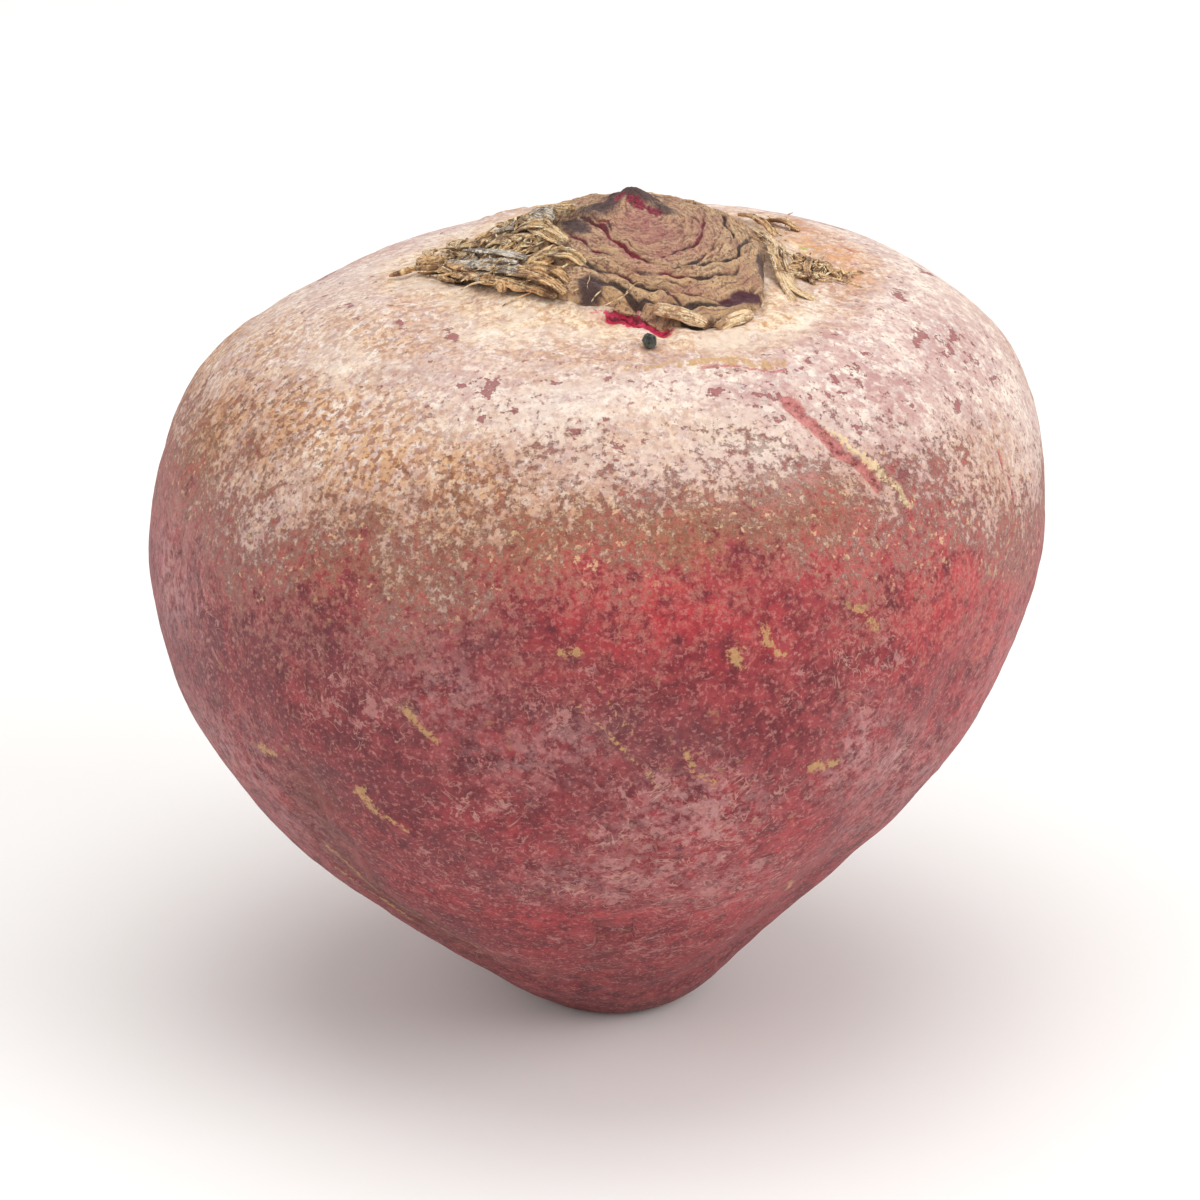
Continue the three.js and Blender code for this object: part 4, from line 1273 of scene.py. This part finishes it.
def crown_material():
    """Woody scars: tan ridges streaked along the rings, mauve near the peak, cracks darkened with
    painted shade, painted shade round the peak and under the husks, a dark mould spot, and raw crimson
    where the flesh shows."""
    material, g, shader = new_material("woody_crown", sheen=0.15, specular=0.35)
    place = g.place()
    rings = g.add("ShaderNodeUVMap", {"uv_map": "along"}).outputs[0]
    swap = g.add("ShaderNodeSeparateXYZ", Vector=rings)
    along = g.add("ShaderNodeCombineXYZ", X=swap.outputs[1], Y=swap.outputs[0]).outputs[0]
    streaks = g.group(FIBRES_GROUP, Place=along, Fineness=0.3, Stretch=5.0)
    fine = g.noise(place, 0.3, 4, 0.75)
    grain = g.noise(place, 0.9, 5, 0.72)
    cloud = g.noise(place, 3.2, 4, 0.6)
    colour = g.mix(g.step(streaks, 0.40, 0.60), paint(176, 120, 92), paint(250, 202, 152))
    colour = g.coat(colour, g.step(grain, 0.5, 0.6), 0.45, paint(240, 204, 150))
    colour = g.coat(colour, g.step(grain, 0.43, 0.37), 0.5, paint(104, 64, 54))
    gold = g.times(g.value("outer"), g.step(cloud, 0.40, 0.54))
    colour = g.coat(colour, gold, 0.35, paint(224, 176, 116))
    specks = g.group(SPECKLE, Place=place, Grain=0.3, Cover=0.40, Softness=0.04)
    colour = g.coat(colour, specks, 0.6, paint(244, 218, 180))
    pits = g.group(SPECKLE, Place=g.place((5, 5, 5)), Grain=0.36, Cover=0.34, Softness=0.04)
    colour = g.coat(colour, pits, 0.7, paint(92, 54, 46))
    colour = g.coat(colour, g.step(cloud, 0.52, 0.66), 0.5, paint(184, 120, 104))
    pink = g.times(g.value("pink"), g.step(grain, 0.28, 0.54))
    colour = g.coat(colour, pink, 0.85, g.mix(fine, paint(138, 52, 70), paint(224, 140, 136)))
    lips = g.times(g.value("lips"), g.step(cloud, 0.4, 0.6))
    colour = g.coat(colour, lips, 0.65, paint(234, 194, 144))
    hair = g.step(streaks, 0.40, 0.34)
    colour = g.coat(colour, hair, 0.5, paint(104, 56, 46))
    # Painted shade in the cracks: near-black along them.
    crack = g.step(g.plus(g.value("crack"), g.times(fine, 0.3)), 0.32, 0.52)
    colour = g.coat(colour, crack, 0.92, paint(50, 22, 22))
    red = g.times(crack, g.times(g.step(g.value("pink"), 0.02, 0.25), g.step(cloud, 0.38, 0.5)))
    colour = g.coat(colour, red, 0.9, paint(158, 26, 52))
    left = g.value("left")
    colour = g.coat(colour, g.times(left, g.step(cloud, 0.38, 0.6)), 0.8, paint(150, 112, 74))
    # Near-black: painted shade round the peak, in the hollows and under the husks, and the dark mould
    # spot.
    dark = g.step(g.plus(g.times(g.value("dark"), 0.9), g.times(grain, 0.8)), 0.62, 1.1)
    colour = g.coat(colour, dark, 0.92, g.mix(fine, paint(34, 20, 26), paint(98, 58, 64)))
    maroon = g.step(g.plus(g.value("maroon"), g.times(grain, 0.4)), 0.5, 0.75)
    colour = g.mix(maroon, colour, paint(92, 28, 44))
    flesh = g.ragged("flesh", grain, 0.75, 0.86, 0.96)
    colour = g.mix(flesh, colour, g.mix(g.step(fine, 0.35, 0.7), paint(96, 8, 28), paint(204, 40, 78)))
    roughness = g.without(g.plus(0.72, g.times(fine, 0.25)), g.times(flesh, 0.6))
    height = g.plus(g.times(streaks, 0.7), g.plus(g.times(fine, 0.9), g.times(grain, 0.8)))
    finish_material(g, shader, colour, roughness, height, depth=0.7)
    return material


def husk_material(name, dark, middle, light, bloom):
    """Dry fibrous stalk: fibres along the strip from dark to light, with grey bloom."""
    material, g, shader = new_material(name, sheen=0.2, specular=0.3)
    place = g.place()
    along = g.add("ShaderNodeUVMap", {"uv_map": "along"}).outputs[0]
    fibres = g.group(FIBRES_GROUP, Place=along, Fineness=0.28, Stretch=9.0)
    hairs = g.group(FIBRES_GROUP, Place=along, Fineness=0.1, Stretch=16.0)
    cloud = g.noise(place, 1.8, 4, 0.65)
    fine = g.noise(place, 0.25, 3, 0.7)
    colour = g.mix(g.step(fibres, 0.36, 0.64), dark, middle)
    colour = g.coat(colour, g.step(hairs, 0.50, 0.60), 0.8, light)
    colour = g.coat(colour, g.step(cloud, 0.54, 0.66), 0.7, bloom)
    sand = g.group(SPECKLE, Place=place, Grain=0.3, Cover=0.36, Softness=0.05)
    colour = g.coat(colour, sand, 0.6, light)
    pits = g.group(SPECKLE, Place=g.place((3, 3, 3)), Grain=0.34, Cover=0.28, Softness=0.05)
    colour = g.coat(colour, pits, 0.45, dark)
    # Dark blotches where the lumps are low: painted shade that stands in for hollows among the strips.
    colour = g.coat(colour, g.step(cloud, 0.46, 0.40), 0.75, dark)
    roughness = g.plus(0.75, g.times(fine, 0.2))
    height = g.plus(g.times(fibres, 0.7), g.plus(g.times(hairs, 0.5), g.times(fine, 0.7)))
    finish_material(g, shader, colour, roughness, height, depth=0.35)
    return material


def bud_material():
    material, g, shader = new_material("blackened_bud", sheen=0.3, specular=0.4)
    place = g.place()
    mould = g.noise(place, 0.4, 4, 0.7)
    colour = g.mix(g.step(mould, 0.4, 0.65), paint(26, 28, 26), paint(84, 92, 82))
    finish_material(g, shader, colour, g.plus(0.6, g.times(mould, 0.3)), mould, depth=0.3)
    return material


def floor_material():
    """Pale matt table top with a very faint grain."""
    material, g, shader = new_material("pale_floor", specular=0.2)
    cloud = g.noise(g.place(), 60, 3, 0.5)
    colour = g.mix(cloud, paint(240, 239, 237), paint(244, 243, 241))
    finish_material(g, shader, colour, g.plus(0.8, g.times(cloud, 0.1)), cloud, depth=0.01)
    return material


# ------------------------------------------------------------------ stage

VIEW_HEIGHT = 0.0424             # where the camera looks, above the floor
VIEW_X = -0.0015
CAMERA_DISTANCE = 0.6
CAMERA_ELEVATION = 22            # degrees above the floor
FRAME_WIDTH = 0.12               # what the frame takes in at the beetroot


def build_stage():
    floor_mesh = bpy.data.meshes.new("floor")
    reach = 6.0
    floor_mesh.from_pydata(
        [(-reach, -reach, 0), (reach, -reach, 0), (reach, reach, 0), (-reach, reach, 0)], [],
        [(0, 1, 2, 3)],
    )
    floor_mesh.materials.append(floor_material())
    floor = bpy.data.objects.new("floor", floor_mesh)
    bpy.context.scene.collection.objects.link(floor)

    world = bpy.data.worlds.new("studio")
    world.use_nodes = True
    background = world.node_tree.nodes["Background"]
    background.inputs["Color"].default_value = (1.0, 0.99, 0.98, 1)
    background.inputs["Strength"].default_value = 0.7
    bpy.context.scene.world = world

    for name, place, size, power in (
        ("top_light", (0.0, 0.05, 0.95), 0.9, 4.2),
        ("left_light", (-0.7, -0.55, 0.6), 0.6, 1.5),
        ("right_light", (0.75, -0.35, 0.55), 0.6, 3.6),
    ):
        light = bpy.data.lights.new(name, "AREA")
        light.shape = "DISK"
        light.size = size
        light.energy = power
        lamp = bpy.data.objects.new(name, light)
        bpy.context.scene.collection.objects.link(lamp)
        lamp.location = place
        aim = lamp.location.copy()
        aim.z -= VIEW_HEIGHT
        lamp.rotation_euler = aim.to_track_quat("Z", "Y").to_euler()

    camera = bpy.data.cameras.new("camera")
    camera.sensor_width = 36
    camera.lens = 36 * CAMERA_DISTANCE / FRAME_WIDTH
    camera.clip_start = 0.01
    eye = bpy.data.objects.new("camera", camera)
    bpy.context.scene.collection.objects.link(eye)
    rise = np.radians(CAMERA_ELEVATION)
    eye.location = (
        VIEW_X, -CAMERA_DISTANCE * np.cos(rise), VIEW_HEIGHT + CAMERA_DISTANCE * np.sin(rise)
    )
    eye.rotation_euler = (np.pi / 2 - rise, 0, 0)
    bpy.context.scene.camera = eye
    bpy.context.scene.view_settings.view_transform = "Standard"
    bpy.context.scene.view_settings.look = "None"


# ------------------------------------------------------------------ the beetroot

build_stage()
build_skin(skin_material())
build_crown(crown_material())
husk_finishes = {
    "brown": husk_material("brown_stalk", paint(100, 58, 34), paint(226, 166, 106),
                           paint(255, 224, 170), paint(200, 152, 108)),
    "tan": husk_material("tan_stalk", paint(112, 70, 40), paint(248, 200, 136),
                         paint(255, 240, 200), paint(220, 176, 124)),
    "grey": husk_material("grey_stalk", paint(104, 84, 68), paint(208, 188, 160),
                          paint(255, 248, 236), paint(226, 218, 208)),
    "pale": husk_material("pale_stalk", paint(160, 108, 62), paint(246, 208, 154),
                          paint(255, 244, 216), paint(246, 208, 150)),
}
build_husks(husk_finishes)
build_fibres(husk_finishes["tan"])
build_buds(bud_material(), husk_finishes["brown"])
